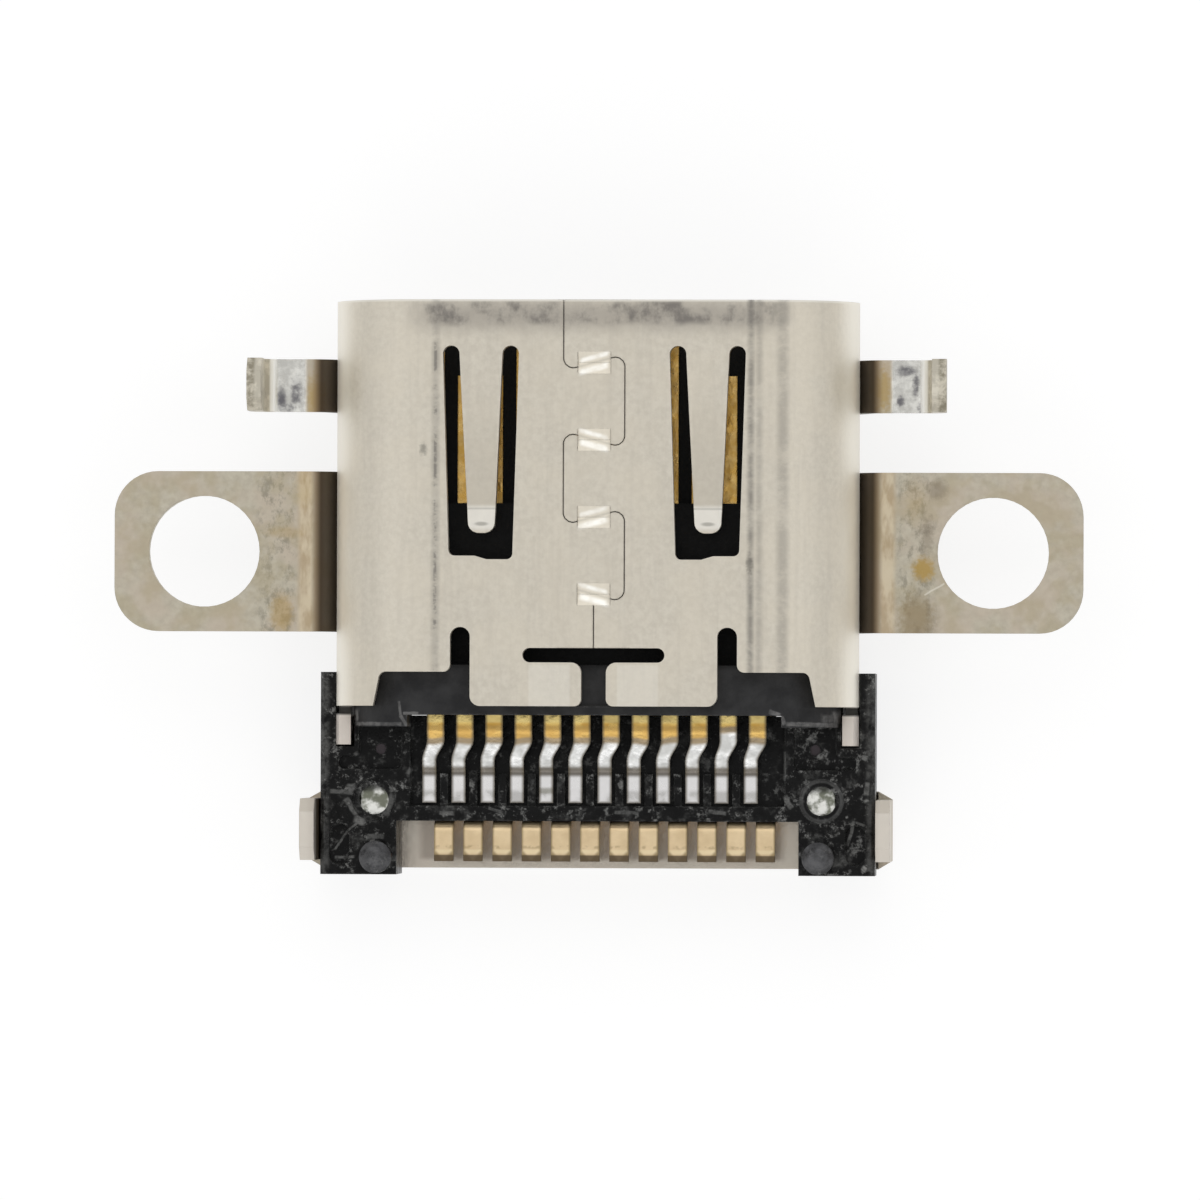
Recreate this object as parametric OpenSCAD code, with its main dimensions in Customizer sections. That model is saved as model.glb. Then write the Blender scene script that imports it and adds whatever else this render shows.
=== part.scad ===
// USB-C socket that sits in a cut-out in the edge of a circuit board, held by a cover
// bracket that is screwed and soldered to the board.
// +Y is the way the mouth faces and +Z points from the cover towards the board.
// The origin lies midway between the two screw holes, on the faces that seat on the board.

/* [Shell] */
// Outside width of the shell
shell_w = 8.94; // [8.6:0.02:9.4]
// Outside height of the shell
shell_h = 3.16; // [3.0:0.02:3.4]
// Wall of the shell
shell_t = 0.30; // [0.22:0.01:0.34]
// Length of the shell from its mouth to its rear edge
shell_len = 6.90; // [6.6:0.05:7.6]
// How far the mouth stands in front of the screw line
mouth_ahead = 4.26; // [3.9:0.02:4.6]

/* [Spring fingers] */
// Distance from the side of the shell to the middle of a finger
finger_inset = 2.545; // [2.4:0.005:2.7]
// Distance from the mouth to the root of a finger
finger_setback = 0.925; // [0.7:0.005:1.1]
// Length of a finger from root to tip
finger_len = 3.035; // [2.6:0.005:3.2]
// Width of a finger at its root
finger_root_w = 0.73; // [0.6:0.01:0.85]
// Width of a finger at its tip
finger_tip_w = 0.44; // [0.3:0.01:0.55]
// How far a finger bends into the shell
finger_drop = 0.28; // [0.1:0.01:0.35]
// Width of the slots beside the root of a finger
slot_w = 0.28; // [0.2:0.01:0.34]
// Width of the rear end of a finger's window
window_end_w = 1.08; // [0.9:0.01:1.2]
// Room between a finger's tip and the rear end of its window
window_tip_room = 0.39; // [0.2:0.01:0.5]

/* [Seam] */
// Gap between the two edges of the folded sheet, which the stakes close
seam_gap = 0.015; // [0.01:0.005:0.06]
// How far the seam's teeth reach from the middle
seam_reach = 0.52; // [0.4:0.01:0.62]
// Distance from the mouth to the seam's first crossing
seam_first = 1.07; // [0.8:0.01:1.2]
// Distance from one crossing to the next
seam_pitch = 1.31; // [1.1:0.01:1.36]
// Rise of a crossing at its ends, which locks the teeth
seam_lean = 0.14; // [0.05:0.01:0.2]
// Width of the dent staked over each crossing
stake_w = 0.56; // [0.3:0.01:0.6]
// Length of the dent staked over each crossing
stake_len = 0.38; // [0.2:0.01:0.5]
// Depth of the dent staked over each crossing
stake_depth = 0.08; // [0.04:0.01:0.12]

/* [Rear edge of the shell] */
// Width of the strap between the two notches
strap_w = 4.20; // [4.0:0.02:4.5]
// Width of the notches beside the strap
notch_w = 0.335; // [0.25:0.005:0.4]
// Length of the notches from the rear edge
notch_len = 1.34; // [1.1:0.02:1.5]
// Length of the corner cut-outs from the rear edge
corner_cut_len = 0.58; // [0.4:0.01:0.7]
// Width left between a corner cut-out and the side of the shell
corner_land = 0.83; // [0.7:0.01:1.0]
// Width of the slot across the strap
cross_slot_w = 2.41; // [2.0:0.01:2.7]
// Length of the slot across the strap, along Y
cross_slot_len = 0.245; // [0.18:0.005:0.3]
// Length of the two flaps behind the cross slot
flap_len = 0.743; // [0.5:0.001:0.8]
// Width of the gap between the two flaps
flap_gap = 0.42; // [0.3:0.01:0.6]
// How far a flap's free edge is pressed into the shell
flap_drop = 0.06; // [0.02:0.01:0.08]
// Length of the tails at the two sides of the shell
tail_len = 0.66; // [0.3:0.01:0.8]
// Thickness the tails are coined down to
tail_t = 0.21; // [0.15:0.01:0.3]

/* [Cover bracket] */
// Sheet thickness of the cover bracket
cover_t = 0.25; // [0.2:0.01:0.3]
// Inside radius of its bends
bend_r = 0.25; // [0.2:0.01:0.3]
// Distance between the two screw holes
screw_span = 13.5; // [13.2:0.1:14.5]
// Diameter of the screw holes
screw_d = 1.9; // [1.6:0.05:2.1]
// Width of the ears
ear_w = 2.74; // [2.5:0.02:3.0]
// Distance from a screw hole's centre to the end of its ear
ear_end = 1.54; // [1.4:0.02:1.8]
// Corner radius of the ears
ear_corner_r = 0.75; // [0.4:0.05:1.0]
// Distance from the mouth to the front edge of the cover
cover_setback = 0.51; // [0.3:0.01:0.7]
// Width of the front board legs
front_leg_w = 0.90; // [0.8:0.01:1.1]
// Distance from the mouth to the front board legs
front_leg_setback = 0.97; // [0.75:0.01:1.0]
// Outside distance over the two front board legs
front_leg_span = 11.92; // [11.6:0.02:13.0]
// Height of the front board legs above the seating faces
front_leg_up = 1.0; // [0.8:0.05:1.4]
// Width of the rear board legs
rear_leg_w = 1.05; // [0.8:0.01:1.2]
// Height of the rear board legs above the seating faces
rear_leg_up = 1.1; // [0.8:0.05:1.4]

/* [Contacts] */
// Distance from one contact to the next
pitch = 0.50; // [0.46:0.01:0.52]
// Sheet thickness of the contacts
contact_t = 0.15; // [0.1:0.01:0.18]
// Width of a contact on the tongue
contact_w = 0.27; // [0.2:0.01:0.3]
// Width of a near-row lead where it leaves the tongue's flange
lead_w = 0.30; // [0.26:0.01:0.36]
// Width of a near-row foot
near_foot_w = 0.24; // [0.2:0.01:0.3]
// Width of a far-row foot
far_foot_w = 0.33; // [0.25:0.01:0.38]
// How far the feet step sideways, near row to -X and far row to +X
foot_step = 0.125; // [0.08:0.005:0.15]
// Distance from the mouth to the tips of the supply and ground contacts
long_setback = 0.70; // [0.6:0.01:0.9]
// Distance from the mouth to the tips of the signal contacts
short_setback = 1.26; // [1.0:0.01:1.5]
// How far the contacts stand proud of the tongue
contact_proud = 0.02; // [0.01:0.01:0.04]
// Length of a near-row lead from the flange to the end of its foot
near_lead_len = 1.50; // [1.3:0.01:1.7]
// Length of a near-row foot
near_foot_len = 0.55; // [0.4:0.01:0.6]
// Length of a far-row foot
far_foot_len = 0.57; // [0.4:0.01:0.7]

/* [Tongue] */
// Distance from the mouth to the tip of the tongue
tongue_setback = 0.45; // [0.35:0.01:0.55]
// Thickness of the tongue
tongue_t = 0.70; // [0.62:0.01:0.78]
// Distance from the mouth to the thick base of the tongue
base_setback = 3.44; // [3.2:0.01:3.7]
// Thickness of the base of the tongue
base_t = 1.37; // [1.2:0.01:1.5]
// Plastic on the tongue outside the outermost contact's middle
tongue_edge = 0.475; // [0.42:0.005:0.52]
// Thickness of the steel mid plate
mid_plate_t = 0.15; // [0.1:0.01:0.18]
// How far the mid plate shows beside the tongue
mid_plate_reveal = 0.12; // [0.05:0.01:0.15]
// Distance from the mouth to the notches for the plug's side latches
latch_setback = 1.56; // [1.3:0.01:1.8]
// Length of the latch notches
latch_len = 0.60; // [0.4:0.01:0.8]
// Depth of the latch notches
latch_depth = 0.30; // [0.2:0.01:0.32]
// Length of the tongue's flange inside the shell
flange_in = 0.70; // [0.6:0.01:0.9]
// Length of the tongue's flange behind the shell
flange_out = 0.15; // [0.1:0.01:0.25]
// Length of the flange's shoulders beside the leads
shoulder_len = 0.20; // [0.1:0.01:0.25]

/* [Rear housing] */
// Wall of the rear housing beside the shell
housing_wall = 0.265; // [0.18:0.005:0.3]
// How far the rear housing laps the sides of the shell
lap_len = 0.58; // [0.3:0.01:0.8]
// Gap left between the rear housing and the board
board_gap = 0.02; // [0.01:0.01:0.05]
// Width of the bar between the two rows of feet
bar_len = 0.26; // [0.2:0.01:0.4]
// Length of the lugs behind the bar
lug_len = 0.92; // [0.8:0.01:1.1]
// Diameter of the locating pegs
peg_d = 0.55; // [0.45:0.01:0.65]
// Height of the locating pegs above the seating faces
peg_up = 0.45; // [0.3:0.05:0.6]
// Diameter of the inspection holes over the mid plate's tails
eye_d = 0.50; // [0.3:0.01:0.56]
// Diameter of the sunk rims round the inspection holes
eye_rim_d = 0.74; // [0.62:0.01:0.8]

/* [Hidden] */
$fn = 48;
// Contacts in each row, and the ones that carry supply and ground
CONTACTS = 12;
LONG_CONTACTS = [1, 4, 9, 12];
function contact_name(row, i) = str("contact_", row, i < 10 ? "0" : "", i);

// Clearance between moulded parts and what they slide over or into
fit = 0.01;
// Clearance round the leads and tails that run through the rear housing
lead_gap = 0.03;
// Clearance between the rear housing and the bracket's wings
wing_gap = 0.03;
// Overshoot of a cutting tool past the face it cuts
over = 0.1;

// Shell
side_r = shell_h / 2;
flat_half = shell_w / 2 - side_r;
mouth_y = mouth_ahead;
rear_y = mouth_y - shell_len;
wall_mid_z = side_r - shell_t / 2;

// Fingers and their windows
finger_x = shell_w / 2 - finger_inset;
finger_root_y = mouth_y - finger_setback;
finger_tip_y = finger_root_y - finger_len;
finger_tip_lift = 0.05;
finger_lip_len = 0.42;
finger_tip_r = 0.18;
window_rear_y = finger_tip_y - window_tip_room;
window_step = 0.06;
window_corner_r = 0.1;

// Rear edge
notch_r = 0.16;
cut_corner_r = 0.12;
corner_cut_lean = 0.14;
strap_corner_r = 0.17;
flap_corner_r = 0.12;
cross_slot_y = rear_y + flap_len + cross_slot_len / 2;
tail_angle = 18;
// The tails' necks are cut down at the rear edge
neck_len = 0.13;
neck_z = -0.25;

// Cover bracket
bend_out = bend_r + cover_t;
strip_bend_x = flat_half + sqrt(pow(side_r + bend_out, 2) - pow(bend_out, 2));
join_angle = asin(bend_out / (side_r + bend_out));
cover_z = -side_r - cover_t;
screw_x = screw_span / 2;
leg_chamfer = 0.22;

// Contacts
row_half = (CONTACTS - 1) / 2 * pitch;
tongue_contact_z = tongue_t / 2 + contact_proud - contact_t / 2;
foot_z = -contact_t / 2;
base_cover = 0.085;
far_run_z = -base_t / 2 + base_cover + contact_t / 2;
contact_bend_r = 0.15;
// Clearance round the contacts and the mid plate in their seats
seat_gap = 0.005;
// From the flange to a near lead's bend, to its sidestep, and the sidestep's length
lead_bend_len = 0.26;
lead_straight = 0.43;
lead_step_len = 0.35;

// Tongue and mid plate
tongue_half = row_half + tongue_edge;
tongue_tip_y = mouth_y - tongue_setback;
tongue_nose = 0.2;
base_y = mouth_y - base_setback;
base_half = tongue_half + mid_plate_reveal + 0.03;
flange_y1 = rear_y + flange_in;
flange_y0 = rear_y - flange_out;
flange_grow = -shell_t - fit;
mid_half = tongue_half + mid_plate_reveal;
latch_y = mouth_y - latch_setback;
// Where the far contacts drop from the tongue into its base, and then step sideways
far_drop_y = base_y - 0.5;
far_drop_len = 0.4;
far_step_y = far_drop_y - far_drop_len - 0.25;
far_step_len = 0.7;

// Rear housing
housing_half = shell_w / 2 + fit + housing_wall;
housing_top = -board_gap;
cavity_half = row_half + 0.45;
shoulder_x = row_half + 0.43;
block_y1 = flange_y0 - fit;
near_foot_end = flange_y0 - near_lead_len;
cavity_y0 = near_foot_end - 0.05;
cavity_floor = -contact_t - lead_gap;
rib_sink = 0.04;
bar_y0 = cavity_y0 - bar_len;
lug_y0 = bar_y0 - lug_len;
lug_x = cavity_half + 0.24;
peg_x = lug_x + 0.34;
peg_y = lug_y0 + 0.30;
peg_chamfer = 0.1;
eye_x = peg_x + 0.05;
eye_y = bar_y0 + 0.355;
eye_rim_depth = 0.08;
eye_window_d = 0.18;
eye_window_ahead = 0.87;
eye_window_in = 0.11;
lug_pocket_w = 0.34;
lug_pocket_len = 0.70;
housing_chamfer = 0.06;
pocket_depth = 0.13;
pocket_r = 0.08;
pocket_wall = 0.16;
// The far feet rise to the board just behind the bar
far_rise_y = bar_y0 + 0.04;
far_foot_y = bar_y0 - 0.12;
far_foot_end = far_foot_y - far_foot_len;
// The mid plate's tails: level, width and place
plate_tail_z = -0.295;
plate_tail_w = 0.50;
plate_tail_x = eye_x - 0.02;
plate_tail_y0 = eye_y - 0.3;
plate_root_y = flange_y1 - 0.1;
plate_bar_len = 0.15;
plate_drop_len = 0.35;
plate_bend_r = 0.1;

// The bracket behind the shell
wing_x = housing_half + wing_gap;
cover_y0 = lug_y0 + 0.10;
rear_leg_y0 = cover_y0 + 0.15;
rear_leg_y1 = rear_leg_y0 + rear_leg_w;
wing_y1 = rear_leg_y1 + 0.14;

// ---------------------------------------------------------------- plane geometry

function unit(v) = v / norm(v);

function xy(p) = [p[0], p[1]];

// Points of the arc of radius r that rounds corner b between its neighbours a and c
function corner(a, b, c, r, steps = 5) =
    let (u = unit(a - b),
         v = unit(c - b),
         half = acos(u * v) / 2,
         centre = b + unit(u + v) * r / sin(half),
         from = b + u * r / tan(half) - centre,
         to = b + v * r / tan(half) - centre)
    [for (i = [0 : steps]) centre + unit(from * (steps - i) + to * i) * r];

// An outline or an open path given as [x, y, corner radius], with its corners rounded
function rounded(pts, closed = true) =
    let (n = len(pts))
    [for (i = [0 : n - 1])
        let (is_end = !closed && (i == 0 || i == n - 1))
        each is_end || pts[i][2] == 0
            ? [xy(pts[i])]
            : corner(xy(pts[(i + n - 1) % n]), xy(pts[i]), xy(pts[(i + 1) % n]), pts[i][2])];

// Outline of a strip of width w whose middle follows an open path, mitred at its bends
function ribbon(path, w) =
    let (n = len(path),
         offsets = [for (i = [0 : n - 1])
            let (before = unit(path[max(i, 1)] - path[max(i, 1) - 1]),
                 after = unit(path[min(i, n - 2) + 1] - path[min(i, n - 2)]),
                 along = unit(before + after),
                 across = [-along[1], along[0]])
            across * (w / 2) / (across * [-before[1], before[0]])])
    concat([for (i = [0 : n - 1]) path[i] + offsets[i]],
           [for (i = [n - 1 : -1 : 0]) path[i] - offsets[i]]);

// Outline of a strip seen from above, through stations of [y, middle x, width]
function plan(stations) =
    let (n = len(stations))
    concat([for (s = stations) [s[1] - s[2] / 2, s[0]]],
           [for (i = [n - 1 : -1 : 0]) [stations[i][1] + stations[i][2] / 2, stations[i][0]]]);

// Stations of a smooth step from x0 and width w0 at y0 to x1 and width w1 at y1
function step_over(y0, y1, x0, x1, w0, w1, steps = 5) =
    [for (i = [0 : steps])
        let (t = i / steps, s = t * t * (3 - 2 * t))
        [y0 + (y1 - y0) * t, x0 + (x1 - x0) * s, w0 + (w1 - w0) * s]];

// ---------------------------------------------------------------- solids

module block(low, high) translate(low) cube(high - low);

// The same thing on both sides of the middle
module both_sides() {
    children();
    mirror([1, 0, 0]) children();
}

// A profile drawn as [y, z], run from x0 to x1
module along_x(x0, x1)
    translate([x0, 0, 0]) rotate([90, 0, 90]) linear_extrude(x1 - x0) children();

// A profile drawn as [x, z], run from y0 to y1
module along_y(y0, y1)
    translate([0, y1, 0]) rotate([90, 0, 0]) linear_extrude(y1 - y0) children();

// A profile drawn as [x, y], run from z0 to z1
module along_z(z0, z1)
    translate([0, 0, z0]) linear_extrude(z1 - z0) children();

// A bent sheet: from radius r0 to r1 and from angle a0 to a1 about an axis along Y
module arc_sheet(x, z, r0, r1, a0, a1, y0, y1)
    translate([x, y1, z]) rotate([90, 0, 0])
        rotate_extrude(angle = a1 - a0, start = a0)
            translate([r0, 0]) square([r1 - r0, y1 - y0]);

// A solid with the shell's outside section, grown all round
module stadium(grow, y0, y1) {
    r = side_r + grow;
    block([-flat_half, y0, -r], [flat_half, y1, r]);
    both_sides() arc_sheet(flat_half, 0, 0, r, -90, 90, y0, y1);
}

// ---------------------------------------------------------------- shell

// Plan of the window round the +X finger
module finger_window() {
    half = finger_root_w / 2 + slot_w;
    end_half = window_end_w / 2;
    translate([finger_x, 0]) {
        for (s = [-1, 1])
            translate([s * (half - slot_w / 2), finger_root_y]) circle(d = slot_w);
        polygon(rounded([
            [-half, finger_root_y, 0],
            [half, finger_root_y, 0],
            [end_half, window_rear_y, window_corner_r],
            [0.1, window_rear_y, 0],
            [-0.1, window_rear_y - window_step, 0],
            [-end_half, window_rear_y - window_step, window_corner_r]]));
    }
}

// The +X finger, bent into the shell, with its lip turned back at the tip
module finger() {
    z = wall_mid_z;
    outline = [
        [finger_x - finger_root_w / 2, finger_root_y, 0],
        [finger_x + finger_root_w / 2, finger_root_y, 0],
        [finger_x + finger_tip_w / 2, finger_tip_y, finger_tip_r],
        [finger_x - finger_tip_w / 2, finger_tip_y, finger_tip_r]];
    bend = [
        [finger_root_y, z, 0],
        [finger_root_y - 0.3, z, 0.8],
        [finger_tip_y + finger_lip_len, z - finger_drop, 0.3],
        [finger_tip_y - over, z - finger_drop + finger_tip_lift, 0]];
    intersection() {
        along_z(0, side_r + over) polygon(rounded(outline));
        along_x(finger_x - finger_root_w, finger_x + finger_root_w)
            polygon(ribbon(rounded(bend, false), shell_t));
    }
}

// The seam's path, from the mouth through its crossings to the cross slot
function seam_path(crossings = 4) = concat(
    [[-seam_reach, mouth_y + over, 0]],
    [for (i = [0 : crossings - 2])
        let (y = mouth_y - seam_first - i * seam_pitch, s = i % 2 == 0 ? -1 : 1)
        each [[s * seam_reach, y - seam_lean, 0.16], [-s * seam_reach, y + seam_lean, 0.16]]],
    let (y = mouth_y - seam_first - (crossings - 1) * seam_pitch)
    [[seam_reach, y - seam_lean, 0.16], [0, y, 0], [0, cross_slot_y, 0]]);

// Plan of the dents staked over the seam's crossings
module stake_plan(crossings = 4)
    for (i = [0 : crossings - 1])
        translate([-stake_w / 2, mouth_y - seam_first - i * seam_pitch - stake_len / 2])
            square([stake_w, stake_len]);

// The V-shaped dents themselves
module stakes(crossings = 4) {
    for (i = [0 : crossings - 1]) {
        y = mouth_y - seam_first - i * seam_pitch;
        along_x(-stake_w / 2, stake_w / 2)
            polygon([
                [y - stake_len / 2, side_r],
                [y - stake_len / 2, side_r + over],
                [y + stake_len / 2, side_r + over],
                [y + stake_len / 2, side_r],
                [y, side_r - stake_depth]]);
    }
}

// Plan of the notch and corner cut-out at the +X rear corner
module rear_corner_cut() {
    x0 = strap_w / 2;
    x1 = shell_w / 2 - corner_land;
    y0 = rear_y - over;
    polygon(concat(
        rounded([
            [x0 - strap_corner_r, y0, 0],
            [x1 + corner_cut_lean, y0, 0],
            [x1, rear_y + corner_cut_len, cut_corner_r],
            [x0 + notch_w, rear_y + corner_cut_len, cut_corner_r],
            [x0 + notch_w, rear_y + notch_len, notch_r],
            [x0, rear_y + notch_len, notch_r],
            [x0, rear_y + notch_len / 2, 0]], closed = false),
        corner([x0, rear_y + notch_len], [x0, rear_y], [0, rear_y], strap_corner_r)));
}

// Plan of the cross slot and of the two flaps' room behind it
module cross_slot() {
    r = cross_slot_len / 2;
    translate([-cross_slot_w / 2 + r, cross_slot_y - r]) square([cross_slot_w - 2 * r, 2 * r]);
    for (s = [-1, 1]) translate([s * (cross_slot_w / 2 - r), cross_slot_y]) circle(r);
    translate([-cross_slot_w / 2, rear_y - over]) square([cross_slot_w, flap_len + over]);
}

// The +X flap, hinged at its outer side and pressed in a little
module flap() {
    x0 = flap_gap / 2;
    x1 = cross_slot_w / 2;
    z = wall_mid_z;
    intersection() {
        along_z(0, side_r + over)
            polygon(rounded([
                [x1, rear_y, 0],
                [x1, rear_y + flap_len, 0],
                [x0, rear_y + flap_len, strap_corner_r],
                [x0, rear_y, flap_corner_r]]));
        along_y(rear_y - over, rear_y + flap_len + over)
            polygon(ribbon([[x1, z], [x1 - 0.15, z], [x0 - over, z - flap_drop]], shell_t));
    }
}

module shell() color("#c9c3b8") {
    wall_z = side_r - shell_t;
    near_z0 = side_r / 3;
    near_z1 = side_r + over;
    difference() {
        union() {
            block([-flat_half, rear_y, wall_z], [flat_half, mouth_y, side_r]);
            block([-flat_half, rear_y, -side_r], [flat_half, mouth_y, -wall_z]);
            both_sides() {
                arc_sheet(flat_half, 0, wall_z, side_r, -90, 90, rear_y, mouth_y);
                difference() {
                    arc_sheet(flat_half, 0, side_r - tail_t, side_r, -tail_angle, tail_angle, rear_y - tail_len, rear_y);
                    block([flat_half, rear_y - neck_len, neck_z], [shell_w, rear_y, side_r]);
                }
            }
        }
        both_sides() {
            along_z(near_z0, near_z1) finger_window();
            along_z(-near_z1, -near_z0) finger_window();
            along_z(near_z0, near_z1) rear_corner_cut();
        }
        along_z(near_z0, near_z1) cross_slot();
        along_z(near_z0, near_z1)
            difference() {
                polygon(ribbon(rounded(seam_path(), false), seam_gap));
                stake_plan();
            }
        stakes();
    }
    both_sides() {
        finger();
        mirror([0, 0, 1]) finger();
        flap();
    }
}

// ---------------------------------------------------------------- cover bracket

// A strip of the cover that follows the shell's side up from the plate and then bends
// out level with the board
module rising_strip(y0, y1) {
    arc_sheet(flat_half, 0, side_r, side_r + cover_t, -90, -join_angle, y0, y1);
    arc_sheet(strip_bend_x, -bend_out, bend_r, bend_out, 90, 180 - join_angle, y0, y1);
}

// The +X ear with its screw hole
module ear() {
    end_x = screw_x + ear_end;
    rising_strip(-ear_w / 2, ear_w / 2);
    difference() {
        union() {
            block([strip_bend_x, -ear_w / 2, -cover_t], [end_x - ear_corner_r, ear_w / 2, 0]);
            block([end_x - ear_corner_r, -ear_w / 2 + ear_corner_r, -cover_t],
                  [end_x, ear_w / 2 - ear_corner_r, 0]);
            for (s = [-1, 1])
                translate([end_x - ear_corner_r, s * (ear_w / 2 - ear_corner_r), -cover_t])
                    rotate_extrude(angle = 90, start = s > 0 ? 0 : -90)
                        square([ear_corner_r, cover_t]);
        }
        translate([screw_x, 0, -cover_t - over]) cylinder(d = screw_d, h = cover_t + 2 * over);
    }
}

// The +X front leg: out along the board, then up through it
module front_leg() {
    y1 = mouth_y - front_leg_setback;
    y0 = y1 - front_leg_w;
    x1 = front_leg_span / 2;
    rising_strip(y0, y1);
    block([strip_bend_x, y0, -cover_t], [x1 - bend_out, y1, 0]);
    arc_sheet(x1 - bend_out, bend_r, bend_r, bend_out, -90, 0, y0, y1);
    along_x(x1 - cover_t, x1)
        polygon([
            [y0, bend_r],
            [y1, bend_r],
            [y1, front_leg_up - leg_chamfer],
            [y1 - leg_chamfer, front_leg_up],
            [y0 + leg_chamfer, front_leg_up],
            [y0, front_leg_up - leg_chamfer]]);
}

// The +X wing at the rear corner, with the leg that goes up through the board
module rear_wing() {
    z = -side_r + bend_r;
    bend_x = wing_x - bend_r;
    intersection() {
        arc_sheet(bend_x, z, bend_r, bend_out, -90, 0, cover_y0, wing_y1);
        along_z(cover_z - over, over)
            polygon([
                [bend_x, cover_y0],
                [wing_x, cover_y0],
                [wing_x + cover_t, rear_leg_y0],
                [wing_x + cover_t, rear_leg_y1],
                [wing_x, wing_y1],
                [bend_x, wing_y1]]);
    }
    along_x(wing_x, wing_x + cover_t)
        polygon([
            [rear_leg_y0, z],
            [rear_leg_y1, z],
            [rear_leg_y1, rear_leg_up - leg_chamfer],
            [rear_leg_y1 - leg_chamfer, rear_leg_up],
            [rear_leg_y0 + leg_chamfer, rear_leg_up],
            [rear_leg_y0, rear_leg_up - leg_chamfer]]);
}

// Plan of the +X window in the cover, which leaves the far finger free
module cover_window() {
    half = finger_root_w / 2 + slot_w + 0.1;
    polygon(rounded([
        [finger_x - half, window_rear_y - 0.11, 0.15],
        [finger_x + half, window_rear_y - 0.11, 0.15],
        [finger_x + half, finger_root_y + 0.21, 0.15],
        [finger_x - half, finger_root_y + 0.21, 0.15]]));
}

module cover_bracket() color("#a79f93") {
    difference() {
        union() {
            block([-flat_half, cover_y0, cover_z], [flat_half, mouth_y - cover_setback, -side_r]);
            both_sides()
                block([flat_half, cover_y0, cover_z], [wing_x - bend_r, wing_y1, -side_r]);
        }
        both_sides() along_z(cover_z - over, -side_r + over) cover_window();
    }
    both_sides() {
        ear();
        front_leg();
        rear_wing();
    }
}

// ---------------------------------------------------------------- contacts

function contact_x(i) = -row_half + (i - 1) * pitch;

function is_long(i) = len([for (k = LONG_CONTACTS) if (k == i) k]) > 0;

function contact_tip_y(i) = mouth_y - (is_long(i) ? long_setback : short_setback);

// A flat strip bent to a path of [y, z, bend radius] and cut to the plan of its stations
module contact_strip(bend, stations) {
    x0 = min([for (s = stations) s[1]]) - pitch;
    x1 = max([for (s = stations) s[1]]) + pitch;
    intersection() {
        along_x(x0, x1) polygon(ribbon(rounded(bend, false), contact_t));
        along_z(-base_t, base_t) polygon(plan(stations));
    }
}

// Near-row contact: along the tongue, out of the flange, down to the board and back
module near_contact(i) {
    x = contact_x(i);
    tip = contact_tip_y(i);
    foot_y = near_foot_end + near_foot_len;
    step_y = flange_y0 - lead_straight;
    contact_strip(
        [[tip, tongue_contact_z, 0],
         [flange_y0 - lead_bend_len, tongue_contact_z, contact_bend_r],
         [foot_y, foot_z, contact_bend_r],
         [near_foot_end, foot_z, 0]],
        concat(
            [[tip + over, x, contact_w], [flange_y1, x, contact_w], [flange_y1, x, lead_w]],
            step_over(step_y, step_y - lead_step_len, x, x - foot_step, lead_w, near_foot_w),
            [[near_foot_end - over, x - foot_step, near_foot_w]]));
}

// The near contact's seat in the tongue and its flange
module near_seat(i) {
    x = contact_x(i);
    half = contact_w / 2 + seat_gap;
    lead_half = lead_w / 2 + seat_gap;
    z0 = tongue_contact_z - contact_t / 2 - seat_gap;
    z1 = tongue_contact_z + contact_t / 2 + seat_gap;
    block([x - half, flange_y1 - over, z0], [x + half, contact_tip_y(i) + seat_gap, z1]);
    block([x - lead_half, flange_y0 - over, z0], [x + lead_half, flange_y1 + seat_gap, z1]);
}

// Far-row contact: under the tongue, down into the base, through the rear housing and up
// to the board behind the bar
module far_contact(i) {
    x = contact_x(i);
    tip = contact_tip_y(i);
    contact_strip(
        [[tip, -tongue_contact_z, 0],
         [far_drop_y, -tongue_contact_z, contact_bend_r],
         [far_drop_y - far_drop_len, far_run_z, contact_bend_r],
         [far_rise_y, far_run_z, 0.12],
         [far_foot_y, foot_z, 0.12],
         [far_foot_end, foot_z, 0]],
        concat(
            [[tip + over, x, contact_w]],
            step_over(far_step_y, far_step_y - far_step_len, x, x + foot_step, contact_w, far_foot_w, 3),
            [[far_foot_end - over, x + foot_step, far_foot_w]]));
}

// The far contact's seat in the tongue, with room where it drops and where it steps over
module far_seat(i) {
    x = contact_x(i);
    half = contact_w / 2 + seat_gap;
    x_foot = x + foot_step;
    foot_half = far_foot_w / 2 + seat_gap;
    z0 = far_run_z - contact_t / 2 - seat_gap;
    z1 = far_run_z + contact_t / 2 + seat_gap;
    tongue_z0 = -tongue_contact_z - contact_t / 2 - seat_gap;
    tongue_z1 = -tongue_contact_z + contact_t / 2 + seat_gap;
    drop_y1 = far_drop_y + contact_bend_r;
    step_y0 = far_step_y - far_step_len;
    block([x - half, far_drop_y, tongue_z0], [x + half, contact_tip_y(i) + seat_gap, tongue_z1]);
    block([x - half, far_step_y - over, z0], [x + half, drop_y1, tongue_z1]);
    block([x - half, step_y0 - over, z0], [x_foot + foot_half, far_step_y + seat_gap, z1]);
    block([x_foot - foot_half, flange_y0 - over, z0], [x_foot + foot_half, step_y0, z1]);
}

// ---------------------------------------------------------------- tongue

// Plan of the notch that the plug's +X side latch drops into
module latch_notch()
    translate([mid_half - latch_depth, latch_y - latch_len])
        square([latch_depth + over, latch_len]);

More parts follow.
